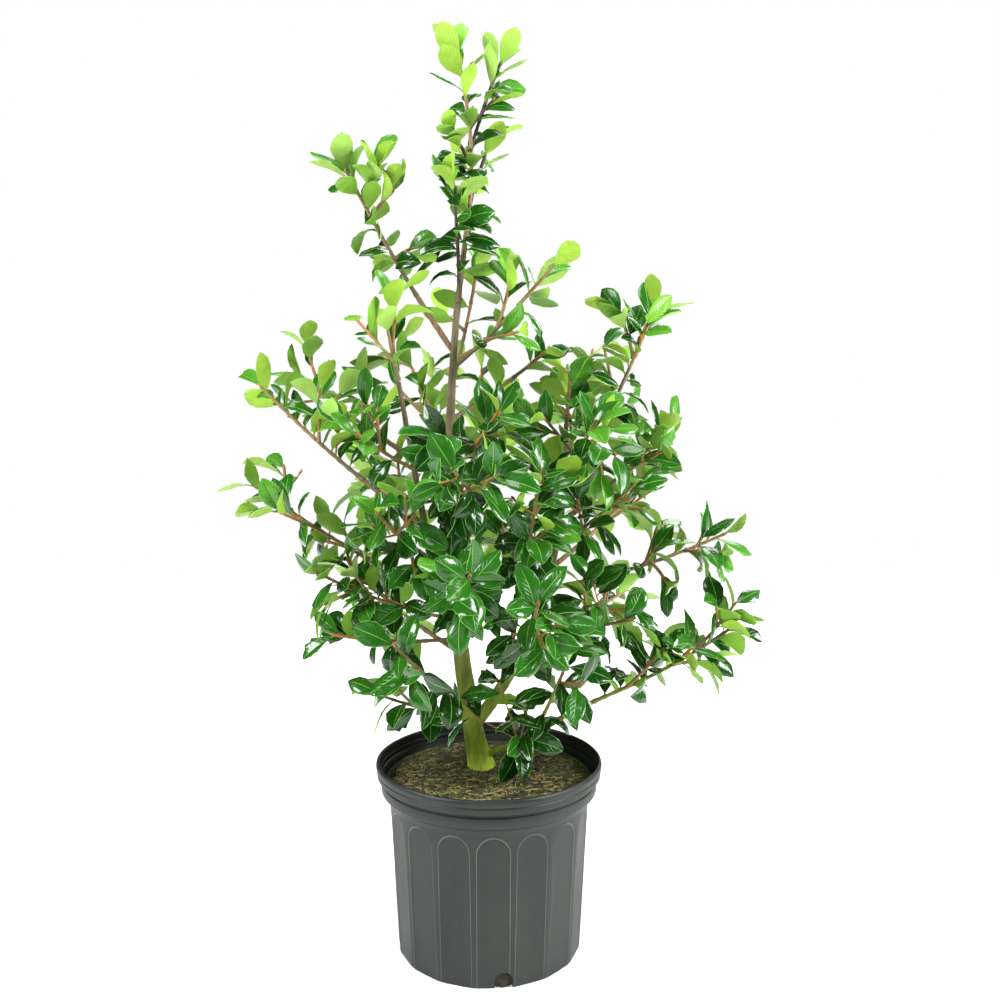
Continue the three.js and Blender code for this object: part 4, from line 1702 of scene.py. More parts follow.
@dataclass
class Shoots:
    """The leafy stems, forks, twigs and finer twigs, swollen where leaves leave them, with buds."""

    shrub: Shrub
    slender: float = 0.8
    collar: float = 0.5
    collar_reach: float = 7.0
    node_swell: float = 0.28
    node_reach: float = 2.6
    bud_length: float = 5.5
    bud_radius: float = 1.5
    old_below: float = 420.0
    mossy_below: float = 330.0
    seed: int = 700
    newer_from: Pair = (0.3, 0.6)
    old_feet: float = 0.6
    tan_tips: float = 0.7
    tan_fine_feet: float = 0.4
    old_twig_feet: float = 0.35
    tan_twig_tips: float = 0.3
    run_step: float = 3.5
    least_steps: int = 3
    far: float = 99.0

    # The bud's outline: shares of its length, and of its radius at each
    BUD_SHARES = np.array([-0.2, 0.15, 0.5, 0.8, 1.0])
    BUD_RADII = np.array([0.9, 1.15, 1.0, 0.55, 0.15])

    def build(self) -> None:
        """Builds, dresses and hands over the shoots."""
        tints = list(WoodTint)
        runs: list[Run] = []
        for i, spray in enumerate(self.shrub.sprays):
            stream = RandomStream(self.seed + i)
            for axis in spray.wood:
                older, newer = self._tints(spray, axis, stream)
                turn = stream.between(*self.newer_from)
                runs.append(self._run(axis, spray, (0.0, turn), tints.index(older)))
                runs.append(self._run(axis, spray, (turn, 1.0), tints.index(newer)))
                runs.append(self._bud(axis, tints.index(WoodTint.NEW)))
        piece = swept("shoots", runs, roundness=1)
        dress(piece, [tint.value.make() for tint in tints])
        smooth(piece, degrees=70)
        hand_over(piece, "bough_bark")

    def _tints(self, spray: Spray, axis: Limb, stream: RandomStream) -> tuple[WoodTint, WoodTint]:
        """Picks a shoot's colours: the leader's forks are dark, and wood is older towards its foot.

        Args:
            spray: The shoot's spray.
            axis: The shoot.
            stream: The spray's random numbers.

        Returns:
            The colours of its foot and of its tip.
        """
        draw = stream.draw()
        if spray.name == "leader" and axis is not spray.stem:
            return WoodTint.DARK, WoodTint.DARK
        if axis is spray.stem and axis.point(0.0)[2] < self.mossy_below:
            return WoodTint.MOSSY, WoodTint.OLD
        if axis is spray.stem:
            old = draw < self.old_feet or axis.point(0.0)[2] < self.old_below
            tip = WoodTint.TAN if draw < self.tan_tips else WoodTint.NEW
            return WoodTint.OLD if old else WoodTint.TAN, tip
        if axis.foot_radius < self.shrub.twig_radii[1]:
            return WoodTint.TAN if draw < self.tan_fine_feet else WoodTint.NEW, WoodTint.NEW
        foot = WoodTint.OLD if draw < self.old_twig_feet else WoodTint.TAN
        return foot, WoodTint.NEW if draw > self.tan_twig_tips else WoodTint.TAN

    def _run(self, axis: Limb, spray: Spray, part: Pair, slot: int) -> Run:
        """Gives the places and radii of part of a shoot, swollen at each leaf's root.

        Args:
            axis: The shoot.
            spray: Its spray.
            part: The shares where the part starts and ends.
            slot: The number of its material.

        Returns:
            The run of wood.
        """
        stout = BRANCHES[spray.name].stout
        steps = max(self.least_steps, round(axis.length() * (part[1] - part[0]) / self.run_step))
        shares = np.linspace(*part, steps + 1)
        places = axis.points(shares)
        radii = np.array([axis.radius(share) for share in shares]) * self.slender
        radii *= blend(stout, 1.0, shares) if axis is spray.stem else min(stout, 1.0)
        radii *= 1 + self.collar * np.exp(-shares * axis.length() / self.collar_reach)
        roots = np.array([leaf.root for leaf in spray.leaves]).reshape(-1, 3)
        apart = np.linalg.norm(places[:, None] - roots, axis=2).min(axis=1, initial=self.far)
        radii *= 1 + self.node_swell * np.exp(-((apart / self.node_reach) ** 2))
        return Run(places, radii, slot)

    def _bud(self, axis: Limb, slot: int) -> Run:
        """Gives the pointed bud at a shoot's tip, in a material slot."""
        places = axis.point(1.0) + self.BUD_SHARES[:, None] * self.bud_length * axis.tangent(1.0)
        return Run(places, self.BUD_RADII * self.bud_radius, slot)


# Leaves


@dataclass(frozen=True)
class BladeForm:
    """A leaf's outline as rows along the blade, each a ring of columns: over the top, then back below."""

    rows: tuple[float, ...]
    widths: tuple[float, ...]
    columns: tuple[float, ...] = (-0.965, -0.48, -0.028, 0.028, 0.48, 0.965, 1.0, 0.0, -1.0)
    puffs: tuple[float, ...] = (0, 1, 0, 0, 1, 0, 0, 0, 0)
    drops: tuple[float, ...] = (0, 0, 0.12, 0.12, 0, 0, 0.4, 0.65, 0.4)
    kinds: tuple[int, ...] = (0, 0, 1, 0, 0, 1, 2, 2, 1)

    def faces(self) -> tuple[list[list[int]], list[int]]:
        """Gives the faces of one leaf and the kind of each.

        Returns:
            Corner numbers of each face, and its kind: 0 for the upper side, 1 for rib and margin, 2 below.
        """
        width = len(self.columns)
        faces = [list(range(width - 1, -1, -1))]
        kinds = [1]
        for row in range(len(self.rows) - 1):
            near, far = row * width, (row + 1) * width
            for column in range(width):
                after = (column + 1) % width
                faces.append([near + column, near + after, far + after, far + column])
                kinds.append(self.kinds[column] if row else 1)
        faces.append([far + column for column in range(width)])
        return faces, [*kinds, 1]

    def map(self) -> Array:
        """Gives where each corner of a leaf lies along and across it, from 0 to 1."""
        along = np.repeat(np.maximum(self.rows, 0.0), len(self.columns))
        return np.column_stack([along, np.tile(np.array(self.columns) / 2 + 0.5, len(self.rows))])


SMOOTH_BLADE = BladeForm(
    rows=(-0.12, 0.0, 0.13, 0.33, 0.56, 0.77, 0.92, 1.0),
    widths=(0.07, 0.09, 0.44, 0.84, 1.0, 0.82, 0.38, 0.02),
)
ROUND_BLADE = BladeForm(
    rows=(-0.12, 0.0, 0.13, 0.36, 0.6, 0.8, 0.94, 1.0),
    widths=(0.08, 0.1, 0.42, 0.82, 1.0, 0.86, 0.44, 0.04),
)
SPINED_BLADE = BladeForm(
    rows=(-0.12, 0.0, 0.14, 0.36, 0.5, 0.57, 0.73, 0.8, 0.92, 1.0),
    widths=(0.07, 0.1, 0.52, 0.86, 1.14, 0.84, 1.0, 0.62, 0.36, 0.03),
)


@dataclass
class Foliage:
    """All the leaves, joined by the part of the crown that they grow in."""

    shrub: Shrub
    seed: int = 900
    low_newness: float = 0.5
    level_newness: float = 0.58
    # How far out a leaf stands shifts its green: painted light towards the crown's outside, painted shade
    # in its heart
    outer_light_and_shade: float = 0.22
    light_shade_middle: float = 0.4
    spray_varies: float = 0.3
    leaf_varies: float = 0.4
    fresh_from: float = 0.9
    bright_from: float = 0.66
    mid_from: float = 0.29
    lime_from: float = 0.5
    lime_share: float = 0.72
    olive_share: float = 0.8
    young_fold: float = 10.0
    old_fold: float = -2.0
    fold_varies: float = 50.0
    young_curl: float = 0.25
    old_curl: float = 1.35
    twist: float = 1.3
    wave: float = 0.018
    puff: float = 0.09
    petiole: float = 0.1
    petiole_depth: float = 1.7
    spined_share: float = 0.13
    spined_from: float = 0.35
    spined_below: float = 0.6
    curl_varies: Pair = (0.3, 1.5)
    curl_turns_at: float = 0.4
    width_varies: Pair = (0.84, 1.14)
    wave_turns: float = 9.0
    wave_apart: float = 1.1
    round_until: float = 0.25
    crown_radius: float = 260.0

    def build(self) -> None:
        """Builds, dresses and hands over the leaves of each part of the crown."""
        slots = [tint.value.make() for tint in (*LeafTint, *UnderTint)] + [LEAF_RIB.make()]
        for part in CrownPart:
            sprays = [(i, s) for i, s in enumerate(self.shrub.sprays) if CrownPart.of(s.name) is part]
            piece = self._join(f"leaves_{part.name.lower()}", sprays, slots)
            smooth(piece, degrees=50)
            hand_over(piece, "foliage", *(f"{spray.name}_foliage" for _, spray in sprays))

    def _join(
        self, name: str, sprays: Sequence[tuple[int, Spray]], slots: Sequence[Material]
    ) -> Piece:
        """Joins the leaves of some sprays.

        Args:
            name: The piece's name.
            sprays: The sprays and their numbers.
            slots: The materials of the uppers, of the undersides and of the ribs, in that order.

        Returns:
            The piece.
        """
        uppers, unders = list(LeafTint), list(UnderTint)
        corners: list[Array] = []
        blades: list[Array] = []
        faces: list[list[int]] = []
        face_slots: list[int] = []
        total = 0
        for i, spray in sprays:
            stream = RandomStream(self.seed + i)
            mood = stream.draw()
            for leaf in spray.leaves:
                upper, under = self._tints(leaf, mood, stream)
                form = self._form(leaf, stream)
                corners.append(self._blade(leaf, form, stream))
                blades.append(form.map())
                by_kind = (uppers.index(upper), len(slots) - 1, len(uppers) + unders.index(under))
                shapes, kinds = form.faces()
                faces += [[total + corner for corner in face] for face in shapes]
                face_slots += [by_kind[kind] for kind in kinds]
                total += len(corners[-1])
        places = np.concatenate(corners) * MM
        return mesh_piece(name, places, faces, slots, face_slots, np.concatenate(blades))

    def _tints(self, leaf: Leaf, mood: float, stream: RandomStream) -> tuple[LeafTint, UnderTint]:
        """Picks a leaf's greens, by its spray, its age, its level and how far out it stands; the last is
        painted light and shade, lighter leaves outside and darker ones in the crown's heart.

        Args:
            leaf: The leaf.
            mood: The spray's own random number.
            stream: The spray's random numbers.

        Returns:
            The tints of its upper side and underside.
        """
        draw = stream.draw()
        outer = min(1.0, math.hypot(leaf.root[0], leaf.root[1]) / self.crown_radius)
        newness_and_light = (1 - leaf.age) * (self.low_newness + self.level_newness * leaf.level)
        # Painted light and shade: leaves far out in the crown turn lighter, those near its heart darker
        newness_and_light = newness_and_light + self.outer_light_and_shade * (outer - self.light_shade_middle)
        newness_and_light += self.spray_varies * (mood - 0.5) + self.leaf_varies * (draw - 0.5)
        if newness_and_light > self.fresh_from:
            upper = LeafTint.FRESH
        elif newness_and_light > self.bright_from:
            upper = LeafTint.BRIGHT
        else:
            upper = LeafTint.MID if newness_and_light > self.mid_from else LeafTint.DEEP
        if newness_and_light > self.lime_from:
            return upper, UnderTint.LIME if draw < self.lime_share else UnderTint.SAGE
        return upper, UnderTint.OLIVE if draw < self.olive_share else UnderTint.LIME

    def _form(self, leaf: Leaf, stream: RandomStream) -> BladeForm:
        """Picks a leaf's outline: the newest are round-ended, and some of the old low ones are spined.

        Args:
            leaf: The leaf.
            stream: The spray's random numbers.

        Returns:
            The outline.
        """
        may_be_spined = leaf.age > self.spined_from and leaf.level < self.spined_below
        if may_be_spined and stream.draw() < self.spined_share:
            return SPINED_BLADE
        return ROUND_BLADE if leaf.age < self.round_until else SMOOTH_BLADE

    def _blade(self, leaf: Leaf, form: BladeForm, stream: RandomStream) -> Array:
        """Works out the corners of one leaf, folded along its rib, curled, twisted, puffed and waved.

        Args:
            leaf: Where the leaf stands.
            form: Its outline.
            stream: The spray's random numbers.

        Returns:
            Its corners, row by row.
        """
        rows, columns = np.array(form.rows), np.array(form.columns)
        along = np.where(rows < 0, 0.0, self.petiole + (1 - self.petiole) * rows)
        curl = blend(self.young_curl, self.old_curl, leaf.age) * stream.between(*self.curl_varies)
        fold = math.radians(blend(self.young_fold, self.old_fold, leaf.age))
        fold += math.radians(self.fold_varies) * (stream.draw() - 0.5)
        phase = stream.draw() * 2 * math.pi
        twists = self.twist * (stream.draw() - 0.5) * np.maximum(rows, 0.0)[:, None]
        bend = curl * (self.curl_turns_at - np.maximum(rows, 0.0))
        steps = np.diff(along, prepend=along[0])
        ahead = np.cumsum(steps * np.cos(bend))
        lift = np.cumsum(steps * np.sin(bend))
        middles = leaf.root + leaf.length * (ahead[:, None] * leaf.heading + lift[:, None] * leaf.facing)
        normals = np.cos(bend)[:, None] * leaf.facing - np.sin(bend)[:, None] * leaf.heading
        sides = np.cos(twists) * leaf.side + np.sin(twists) * normals
        normals = np.cos(twists) * normals - np.sin(twists) * leaf.side
        half = (np.array(form.widths) * leaf.half * stream.between(*self.width_varies))[:, None]
        waves = self.wave_turns * rows[:, None] + phase + self.wave_apart * np.sign(columns)
        ripple = self.wave * leaf.length * np.sin(waves)
        rise = np.abs(columns) * (half * math.sin(fold) + ripple * np.minimum(1.0, half / leaf.half))
        rise = rise + np.array(form.puffs) * self.puff * half
        rise = rise - np.array(form.drops) * np.where(rows <= 0, self.petiole_depth, 1.0)[:, None]
        sideways = (half * columns * math.cos(fold))[..., None] * sides[:, None]
        return (middles[:, None] + sideways + rise[..., None] * normals[:, None]).reshape(-1, 3)


# Pot and soil


@dataclass
class Pot:
    """A thin nursery pot: rolled lip, two bands, flaring shoulder, arched panels, drain notches."""

    columns: int = 96
    first_turn: float = math.radians(1.125)
    base_radius: float = 114.5
    wall_top_radius: float = 123.5
    wall_top: float = 192.0
    wall: float = 2.4
    foot_radius: float = 111.7
    panels: int = 16
    panel_turn: float = math.radians(3.0)
    panel_half_angle: float = math.radians(9.8)
    panel_width: float = 38.4
    panel_top: float = 188.0
    panel_recess: float = 0.6
    panel_draft: float = 1.2
    drains: int = 4
    drain_turn: float = math.radians(9.3)
    drain_width: float = 21.0
    drain_top: float = 20.0
    drain_depth: float = 14.0
    cutter_reach: float = 30.0
    cutter_columns: int = 36
    cutter_middle: float = -1e-6
    edge: float = 0.45
    edge_angle: float = math.radians(48)
    rim_wave: float = 0.9
    wave_from: float = 222.0
    wave_over: float = 18.0
    wave_middle: float = 0.5
    wave_swing: float = 0.3
    inside_from: float = 100.0
    # Which slopes, and how far above the panels, take the painted edge highlight
    highlit_slopes: Pair = (0.4, 0.9)
    highlit_over: float = 5.0
    outside: PlasticFinish = PlasticFinish("pot_plastic", linear(23, 27, 24), linear(40, 46, 42))
    # The panels' edge slopes in a much paler plastic: a painted highlight, the thin light lines along the
    # panels' edges
    edge_highlight: PlasticFinish = PlasticFinish("pot_edge_highlight", linear(68, 74, 71), linear(92, 98, 94), 0.35, 0.5)
    inside: PlasticFinish = PlasticFinish("pot_inside", linear(26, 28, 29), linear(44, 46, 46), 0.35, 0.5)

    # The lip's waves: their share, how many there are round it, and where they start
    WAVES = ((1.0, 3, 0.6), (0.7, 7, 2.0))

    def profile(self) -> list[Pair]:
        """Gives the wall's radii and heights: up the outside, over the lip and down the inside.

        Returns:
            Radii and heights in millimetres.
        """
        outer = [
            (113.7, 0.8), (self.base_radius, 2.8), (self.wall_top_radius, self.wall_top),
            (124.7, 196.2), (127.4, 200.4), (131.0, 203.6), (133.0, 205.0), (133.6, 206.4),
            (134.0, 215.6), (133.5, 217.2), (132.3, 218.0), (132.0, 219.2), (132.1, 221.4), (133.4, 222.5),
            (137.6, 223.2), (138.5, 224.4), (139.0, 230.4), (138.3, 231.0), (138.3, 231.9), (139.5, 232.6),
            (140.0, 235.4), (139.9, 238.4),
            (139.2, 240.6), (138.0, 241.7), (136.8, 242.0),
        ]
        inner = [
            (135.6, 241.2), (134.7, 239.2), (134.4, 236.2), (134.2, 231.6), (133.2, 230.8), (133.1, 229.0),
            (134.0, 228.0), (133.9, 224.6), (132.8, 223.8), (132.6, 222.2), (131.4, 219.0),
            (128.6, 203.9), (120.3, self.wall_top), (111.3, self.wall),
        ]
        return outer + inner

    def build(self) -> None:
        """Builds, dresses and hands over the pot."""
        deselect_all()
        radius = self.foot_radius
        bpy.ops.mesh.primitive_circle_add(
            vertices=self.columns, radius=radius * MM, fill_type="NGON", rotation=(0, 0, self.first_turn)
        )
        piece = bpy.context.active_object
        piece.name = "pot_shell"
        settle(piece)
        raise_profile(piece, radius, self.profile())
        close_up(piece)
        flatness = math.cos(self.panel_half_angle)
        lean = math.atan2((self.wall_top_radius - self.base_radius) * flatness, self.wall_top)
        sunk = self.base_radius * flatness - self.panel_recess
        panel = (self.panel_width, self.panel_top, sunk, lean, self.panel_draft)
        self._cut_arches(piece, self.panels, self.panel_turn, panel)
        drain = (self.drain_width, self.drain_top, self.base_radius - self.drain_depth, 0.0, 0.0)
        self._cut_arches(piece, self.drains, self.drain_turn, drain)
        apply(
            piece, "BEVEL", width=self.edge * MM, segments=2, limit_method="ANGLE",
            angle_limit=self.edge_angle, use_clamp_overlap=False,
        )
        self._wave_rim(piece.data)
        dress(piece, [self.outside.make(), self.inside.make(), self.edge_highlight.make()])
        self._deal_plastics(piece.data)
        smooth(piece, degrees=32)
        hand_over(piece, "pot_plastic", "pot")

    def _arch(
        self, width: float, top: float, distance: float, lean: float, draft: float, turn: float
    ) -> Piece:
        """Models one cutter: an arched outline drawn outwards from a distance off the pot's axis.

        Args:
            width: The arch's width.
            top: The height of its crown.
            distance: How far its flat back stands from the axis.
            lean: How far it leans out.
            draft: How far its sides spread for each millimetre outwards.
            turn: How far round the pot it stands from the front.

        Returns:
            The cutter.
        """
        half = width / 2
        deselect_all()
        bpy.ops.mesh.primitive_circle_add(
            vertices=self.cutter_columns, radius=half * MM, fill_type="NGON", rotation=(math.pi / 2, 0, 0)
        )
        cutter = bpy.context.active_object
        settle(cutter)
        with editing(cutter):
            shape = bmesh.from_edit_mesh(cutter.data)
            for vertex in shape.verts:
                vertex.select_set(vertex.co.z < self.cutter_middle)
            shape.select_flush_mode()
            bpy.ops.transform.translate(value=(0, 0, -top * MM))
            bpy.ops.mesh.select_all(action="SELECT")
            outwards = (0, -self.cutter_reach * MM, 0)
            bpy.ops.mesh.extrude_region_move(TRANSFORM_OT_translate={"value": outwards})
            spread = draft * self.cutter_reach
            bpy.ops.transform.resize(value=(1 + spread / half, 1.0, 1 + spread / (half + top / 2)))
            bpy.ops.mesh.select_all(action="SELECT")
            bpy.ops.transform.translate(value=(0, 0, (top - half) * MM))
            bpy.ops.mesh.normals_make_consistent(inside=False)
        stand = Matrix.Translation((0, -distance * MM, 0)) @ Matrix.Rotation(lean, 4, "X")
        cutter.matrix_world = Matrix.Rotation(turn, 4, "Z") @ stand
        settle(cutter)
        return cutter

    def _cut_arches(self, piece: Piece, count: int, first_turn: float, size: Sequence[float]) -> None:
        """Cuts a ring of arches, panels or drain notches, out of the pot.

        Args:
            piece: The pot.
            count: How many there are.
            first_turn: How far round from the front the first one stands.
            size: Their width, top, distance, lean and draft.
        """
        turns = [first_turn + 2 * math.pi * i / count for i in range(count)]
        cutters = [self._arch(*size, turn) for turn in turns]
        join(cutters[0], cutters[1:])
        apply(piece, "BOOLEAN", operation="DIFFERENCE", object=cutters[0], solver="EXACT")
        bpy.data.objects.remove(cutters[0])

    def _wave_rim(self, mesh: Mesh) -> None:
        """Warps the lip a little, as a pot that has been handled.

        Args:
            mesh: The pot's mesh.
        """
        for vertex in mesh.vertices:
            share = min(max((vertex.co.z / MM - self.wave_from) / self.wave_over, 0.0), 1.0)
            turn = math.atan2(vertex.co.y, vertex.co.x)
            dip = sum(size * math.sin(count * turn + start) for size, count, start in self.WAVES)
            vertex.co.z -= share * self.rim_wave * MM * (self.wave_middle + self.wave_swing * dip)

    def _deal_plastics(self, mesh: Mesh) -> None:
        """Gives the inside above the soil the darker plastic, and the panels' edge slopes the paler one as
        a painted highlight.

        Args:
            mesh: The pot's mesh.
        """
        # The panels' edge slopes, between these heights, take the paler plastic: a painted highlight
        on_panels = (self.drain_top * MM, (self.panel_top + self.highlit_over) * MM)
        for face in mesh.polygons:
            centre = face.center
            out = face.normal.dot(Vector((centre.x, centre.y, 0.0)).normalized())
            if out < 0 and centre.z > self.inside_from * MM:
                face.material_index = 1
            elif self.highlit_slopes[0] < out < self.highlit_slopes[1] and on_panels[0] < centre.z < on_panels[1]:
                face.material_index = 2


class LitterTint(Enum):
    """The colours of what lies on the soil."""

    STRAW = ShootFinish("straw", linear(148, 132, 80), 0.8)
    FIBRE = ShootFinish("brown_fibre", linear(68, 56, 32), 0.85)
    CHIP = ShootFinish("bark_chip", linear(36, 29, 23), 0.85)
    MOSS = ShootFinish("moss", linear(98, 126, 44), 0.9)


@dataclass
class PottingMix:
    """The soil in the pot: a crumbly mound, strewn with straw, chips of bark and moss."""

    wall: float = 2.7
    gap: float = 0.3
    flatness: float = math.cos(math.radians(9.0))
    edge_level: float = 218.0
    crown_level: float = 225.7
    mound_radius: float = 42.0
    rim_radius: float = 132.0
    foot_step: Pair = (0.9, 18.0)
    shoulder: Pair = (131.0, 204.0)
    hub: float = 0.6
    columns: int = 120
    rings: int = 34
    crumb: float = 2.0
    crumb_scale: float = 0.085
    crumb_noise: tuple[float, float, int] = (0.8, 2.2, 5)
    edge_from: float = 0.97
    edge_crumb: float = 0.3
    foot_levels: Pair = (5.0, 40.0)
    foot_crumb: float = 0.006
    foot_crumb_scale: float = 160.0
    seed: int = 4100
    trunk_room: float = 19.0
    straws: int = 2800
    straw_reach: float = 122.0
    straw_limit: float = 126.0
    straw_lift: float = 0.4
    straw_lengths: Pair = (3.0, 17.0)
    straw_radii: Pair = (0.18, 0.48)
    straw_bows: Pair = (-0.25, 0.25)
    straw_tilts: Pair = (-0.1, 0.18)
    # The shares of pale straws at the front and at the back: fewer at the back, a painted shade
    pale_straws_lit_to_shaded: Pair = (0.48, 0.14)
    shade_over: float = 120.0
    chips: int = 720
    dark_chips: float = 0.75
    chip_reach: float = 121.0
    chip_sizes: tuple[Pair, Pair, Pair] = ((1.2, 4.5), (0.8, 2.4), (0.4, 1.0))
    chip_lift: float = 0.6
    chip_tilts: Pair = (-0.5, 0.5)
    chip_uneven: Pair = (0.6, 1.0)
    tufts: int = 420
    tuft_offset: Pair = (12.0, -12.0)
    tuft_near: float = 20.0
    tuft_spread: float = 34.0
    tuft_crowding: float = 1.6
    tuft_sunk: float = 0.5
    tuft_widths: Pair = (0.5, 1.2)
    tuft_heights: Pair = (1.5, 4.0)
    tuft_leans: Pair = (-1.2, 1.2)
    tuft_turns: Place = (0.0, 2.1, 4.2)
    trunk_foot: Pair = Shrub.foot[:2]
    plug: Place = (11.5, 7.0, 15.0)
    plug_radius: float = 104.6
    plug_middle: float = 5.0
    plug_crumb: float = 0.012
    plug_crumb_scale: float = 460.0
    plug_noise: tuple[float, float, int] = (0.8, 2.2, 3)
    plug_lift: float = 0.4
    earth: EarthFinish = EarthFinish(
        "potting_soil", linear(18, 15, 11), linear(58, 50, 29), linear(74, 100, 34), 0.52
    )

    def __post_init__(self) -> None:
        """Starts the random numbers of the litter."""
        self.stream = RandomStream(self.seed)

    def build(self) -> None:
        """Builds, dresses and hands over the soil and what lies on it."""
        soil = self._mound()
        self._plug_drains(soil)
        dress(soil, [self.earth.make()])
        smooth(soil, degrees=80)
        hand_over(soil, "potting_soil", "soil")
        litter = self._litter()
        smooth(litter, degrees=40)
        hand_over(litter, "potting_soil")

    def _inside(self, radius: float) -> float:
        """Gives the soil's radius inside a wall of an outer radius."""
        return (radius - self.wall + self.gap) * self.flatness - self.gap

    def level(self, x: float, y: float) -> float:
        """Gives the soil's height at a place.

        Args:
            x: How far right the place lies.
            y: How far back.

        Returns:
            The height in millimetres.
        """
        rim = self._inside(self.rim_radius)
        share = (math.hypot(x, y) - self.mound_radius) / (rim - self.mound_radius)
        plain = blend(self.crown_level, self.edge_level, min(max(share, 0.0), 1.0))
        rough = noise.fractal(Vector((x, y, 0.0)) * self.crumb_scale, *self.crumb_noise)
        return plain + self.crumb * rough * (1.0 if share < self.edge_from else self.edge_crumb)

    def _mound(self) -> Piece:
        """Models the soil: drawn up inside the pot, ringed in towards the middle, then roughened.

        Returns:
            The soil.
        """
        foot = self._inside(Pot.base_radius)
        deselect_all()
        bpy.ops.mesh.primitive_circle_add(vertices=self.columns, radius=foot * MM, fill_type="NGON")
        piece = bpy.context.active_object
        piece.name = "soil_mound"
        with editing(piece):
            bpy.ops.mesh.select_all(action="SELECT")
            bpy.ops.transform.translate(value=(0, 0, self.wall * MM))
        rim = self._inside(self.rim_radius)
        walls = [
            (foot + self.foot_step[0], self.foot_step[1]),
            (self._inside(Pot.wall_top_radius), Pot.wall_top),
            (self._inside(self.shoulder[0]), self.shoulder[1]),
        ]
        steps = [rim * (1 - i / self.rings) + self.hub * i / self.rings for i in range(self.rings + 1)]
        rings = [(radius, self.edge_level) for radius in steps]
        offset = [(radius, level - self.wall) for radius, level in walls + rings]
        raise_profile(piece, foot, offset)
        close_up(piece)
        for vertex in piece.data.vertices:
            x, y, z = vertex.co / MM
            if z > self.edge_level - 1:
                vertex.co.z = self.level(x, y) * MM
            elif self.foot_levels[0] < z < self.foot_levels[1]:
                pull = 1 + self.foot_crumb * noise.noise(vertex.co * self.foot_crumb_scale)
                vertex.co.x *= pull
                vertex.co.y *= pull
        return piece

    def _plug_drains(self, soil: Piece) -> None:
        """Joins to the soil the crumbly lumps that show in the pot's drain notches.

        Args:
            soil: The soil.
        """
        lumps = []
        for i in range(Pot.drains):
            turn = Pot.drain_turn + 2 * math.pi * i / Pot.drains
            deselect_all()
            bpy.ops.mesh.primitive_ico_sphere_add(subdivisions=4, radius=MM)
            lump = bpy.context.active_object
            lump.scale = self.plug
            lump.rotation_euler = (0, 0, turn)
            reach = self.plug_radius * MM
            lump.location = (reach * math.sin(turn), -reach * math.cos(turn), self.plug_middle * MM)
            settle(lump)
            for vertex in lump.data.vertices:
                rough = noise.fractal(vertex.co * self.plug_crumb_scale, *self.plug_noise)
                vertex.co *= 1 + self.plug_crumb * rough
                vertex.co.z = max(vertex.co.z, self.plug_lift * MM)
            lumps.append(lump)
        join(soil, lumps)

    def _litter(self) -> Piece:
        """Strews straw, chips and moss over the soil, joined as one piece.

        Returns:
            The piece.
        """
        tints = list(LitterTint)
        things: list[tuple[Shape, LitterTint]] = []
        for _ in range(self.straws):
            straw = self._straw()
            # Fewer pale straws towards the back: painted shade on the soil's far side
            back = min(max(straw[0][0, 1] / self.shade_over + 0.5, 0.0), 1.0)
            pale = self.stream.draw() < blend(*self.pale_straws_lit_to_shaded, back)
            things.append((straw, LitterTint.STRAW if pale else LitterTint.FIBRE))
        for _ in range(self.chips):
            chip = self._chip()
            dark = self.stream.draw() < self.dark_chips
            things.append((chip, LitterTint.CHIP if dark else LitterTint.FIBRE))
        things += [(self._tuft(), LitterTint.MOSS) for _ in range(self.tufts)]
        faces: list[tuple[int, ...]] = []
        face_slots: list[int] = []
        total = 0
        for (corners, shape_faces), tint in things:
            faces += [tuple(total + corner for corner in face) for face in shape_faces]
            face_slots += [tints.index(tint)] * len(shape_faces)
            total += len(corners)
        places = np.concatenate([corners for (corners, _), _ in things]) * MM
        return mesh_piece("soil_litter", places, faces, [tint.value.make() for tint in tints], face_slots)

    def _spot(self, reach: float) -> Pair:
        """Picks a place on the soil, within a reach of the pot's axis and off the trunk.

        Args:
            reach: The furthest that it lies from the axis.

        Returns:
            The place.
        """
        while True:
            turn = self.stream.draw() * 2 * math.pi
            radius = reach * math.sqrt(self.stream.draw())
            x, y = radius * math.cos(turn), radius * math.sin(turn)
            if math.dist((x, y), self.trunk_foot) > self.trunk_room:
                return x, y

    def _straw(self) -> Shape:
        """Makes one bowed three-sided fibre.

        Returns:
            Its corners and faces.
        """
        x, y = self._spot(self.straw_reach)
        turn = self.stream.draw() * 2 * math.pi
        length = self.stream.between(*self.straw_lengths)
        radius = self.stream.between(*self.straw_radii)
        bow = self.stream.between(*self.straw_bows) * length
        tilt = self.stream.between(*self.straw_tilts) * length
        rings = []
        for share in (-0.5, 0.0, 0.5):
            along, aside = share * length, bow * (0.25 - share * share)
            px = x + along * math.cos(turn) - aside * math.sin(turn)
            py = y + along * math.sin(turn) + aside * math.cos(turn)
            if math.hypot(px, py) > self.straw_limit:
                px, py = x, y
            pz = self.level(px, py) + radius + self.straw_lift + tilt * share
            side = np.array([-math.sin(turn), math.cos(turn), 0.0]) * radius
            up = np.array([0.0, 0.0, radius])
            centre = np.array([px, py, pz])
            rings += [centre + side - up * 0.5, centre - side - up * 0.5, centre + up]
        quads = [(0, 1, 4, 3), (1, 2, 5, 4), (2, 0, 3, 5), (3, 4, 7, 6), (4, 5, 8, 7), (5, 3, 6, 8)]
        return np.array(rings), [*quads, (2, 1, 0), (6, 7, 8)]

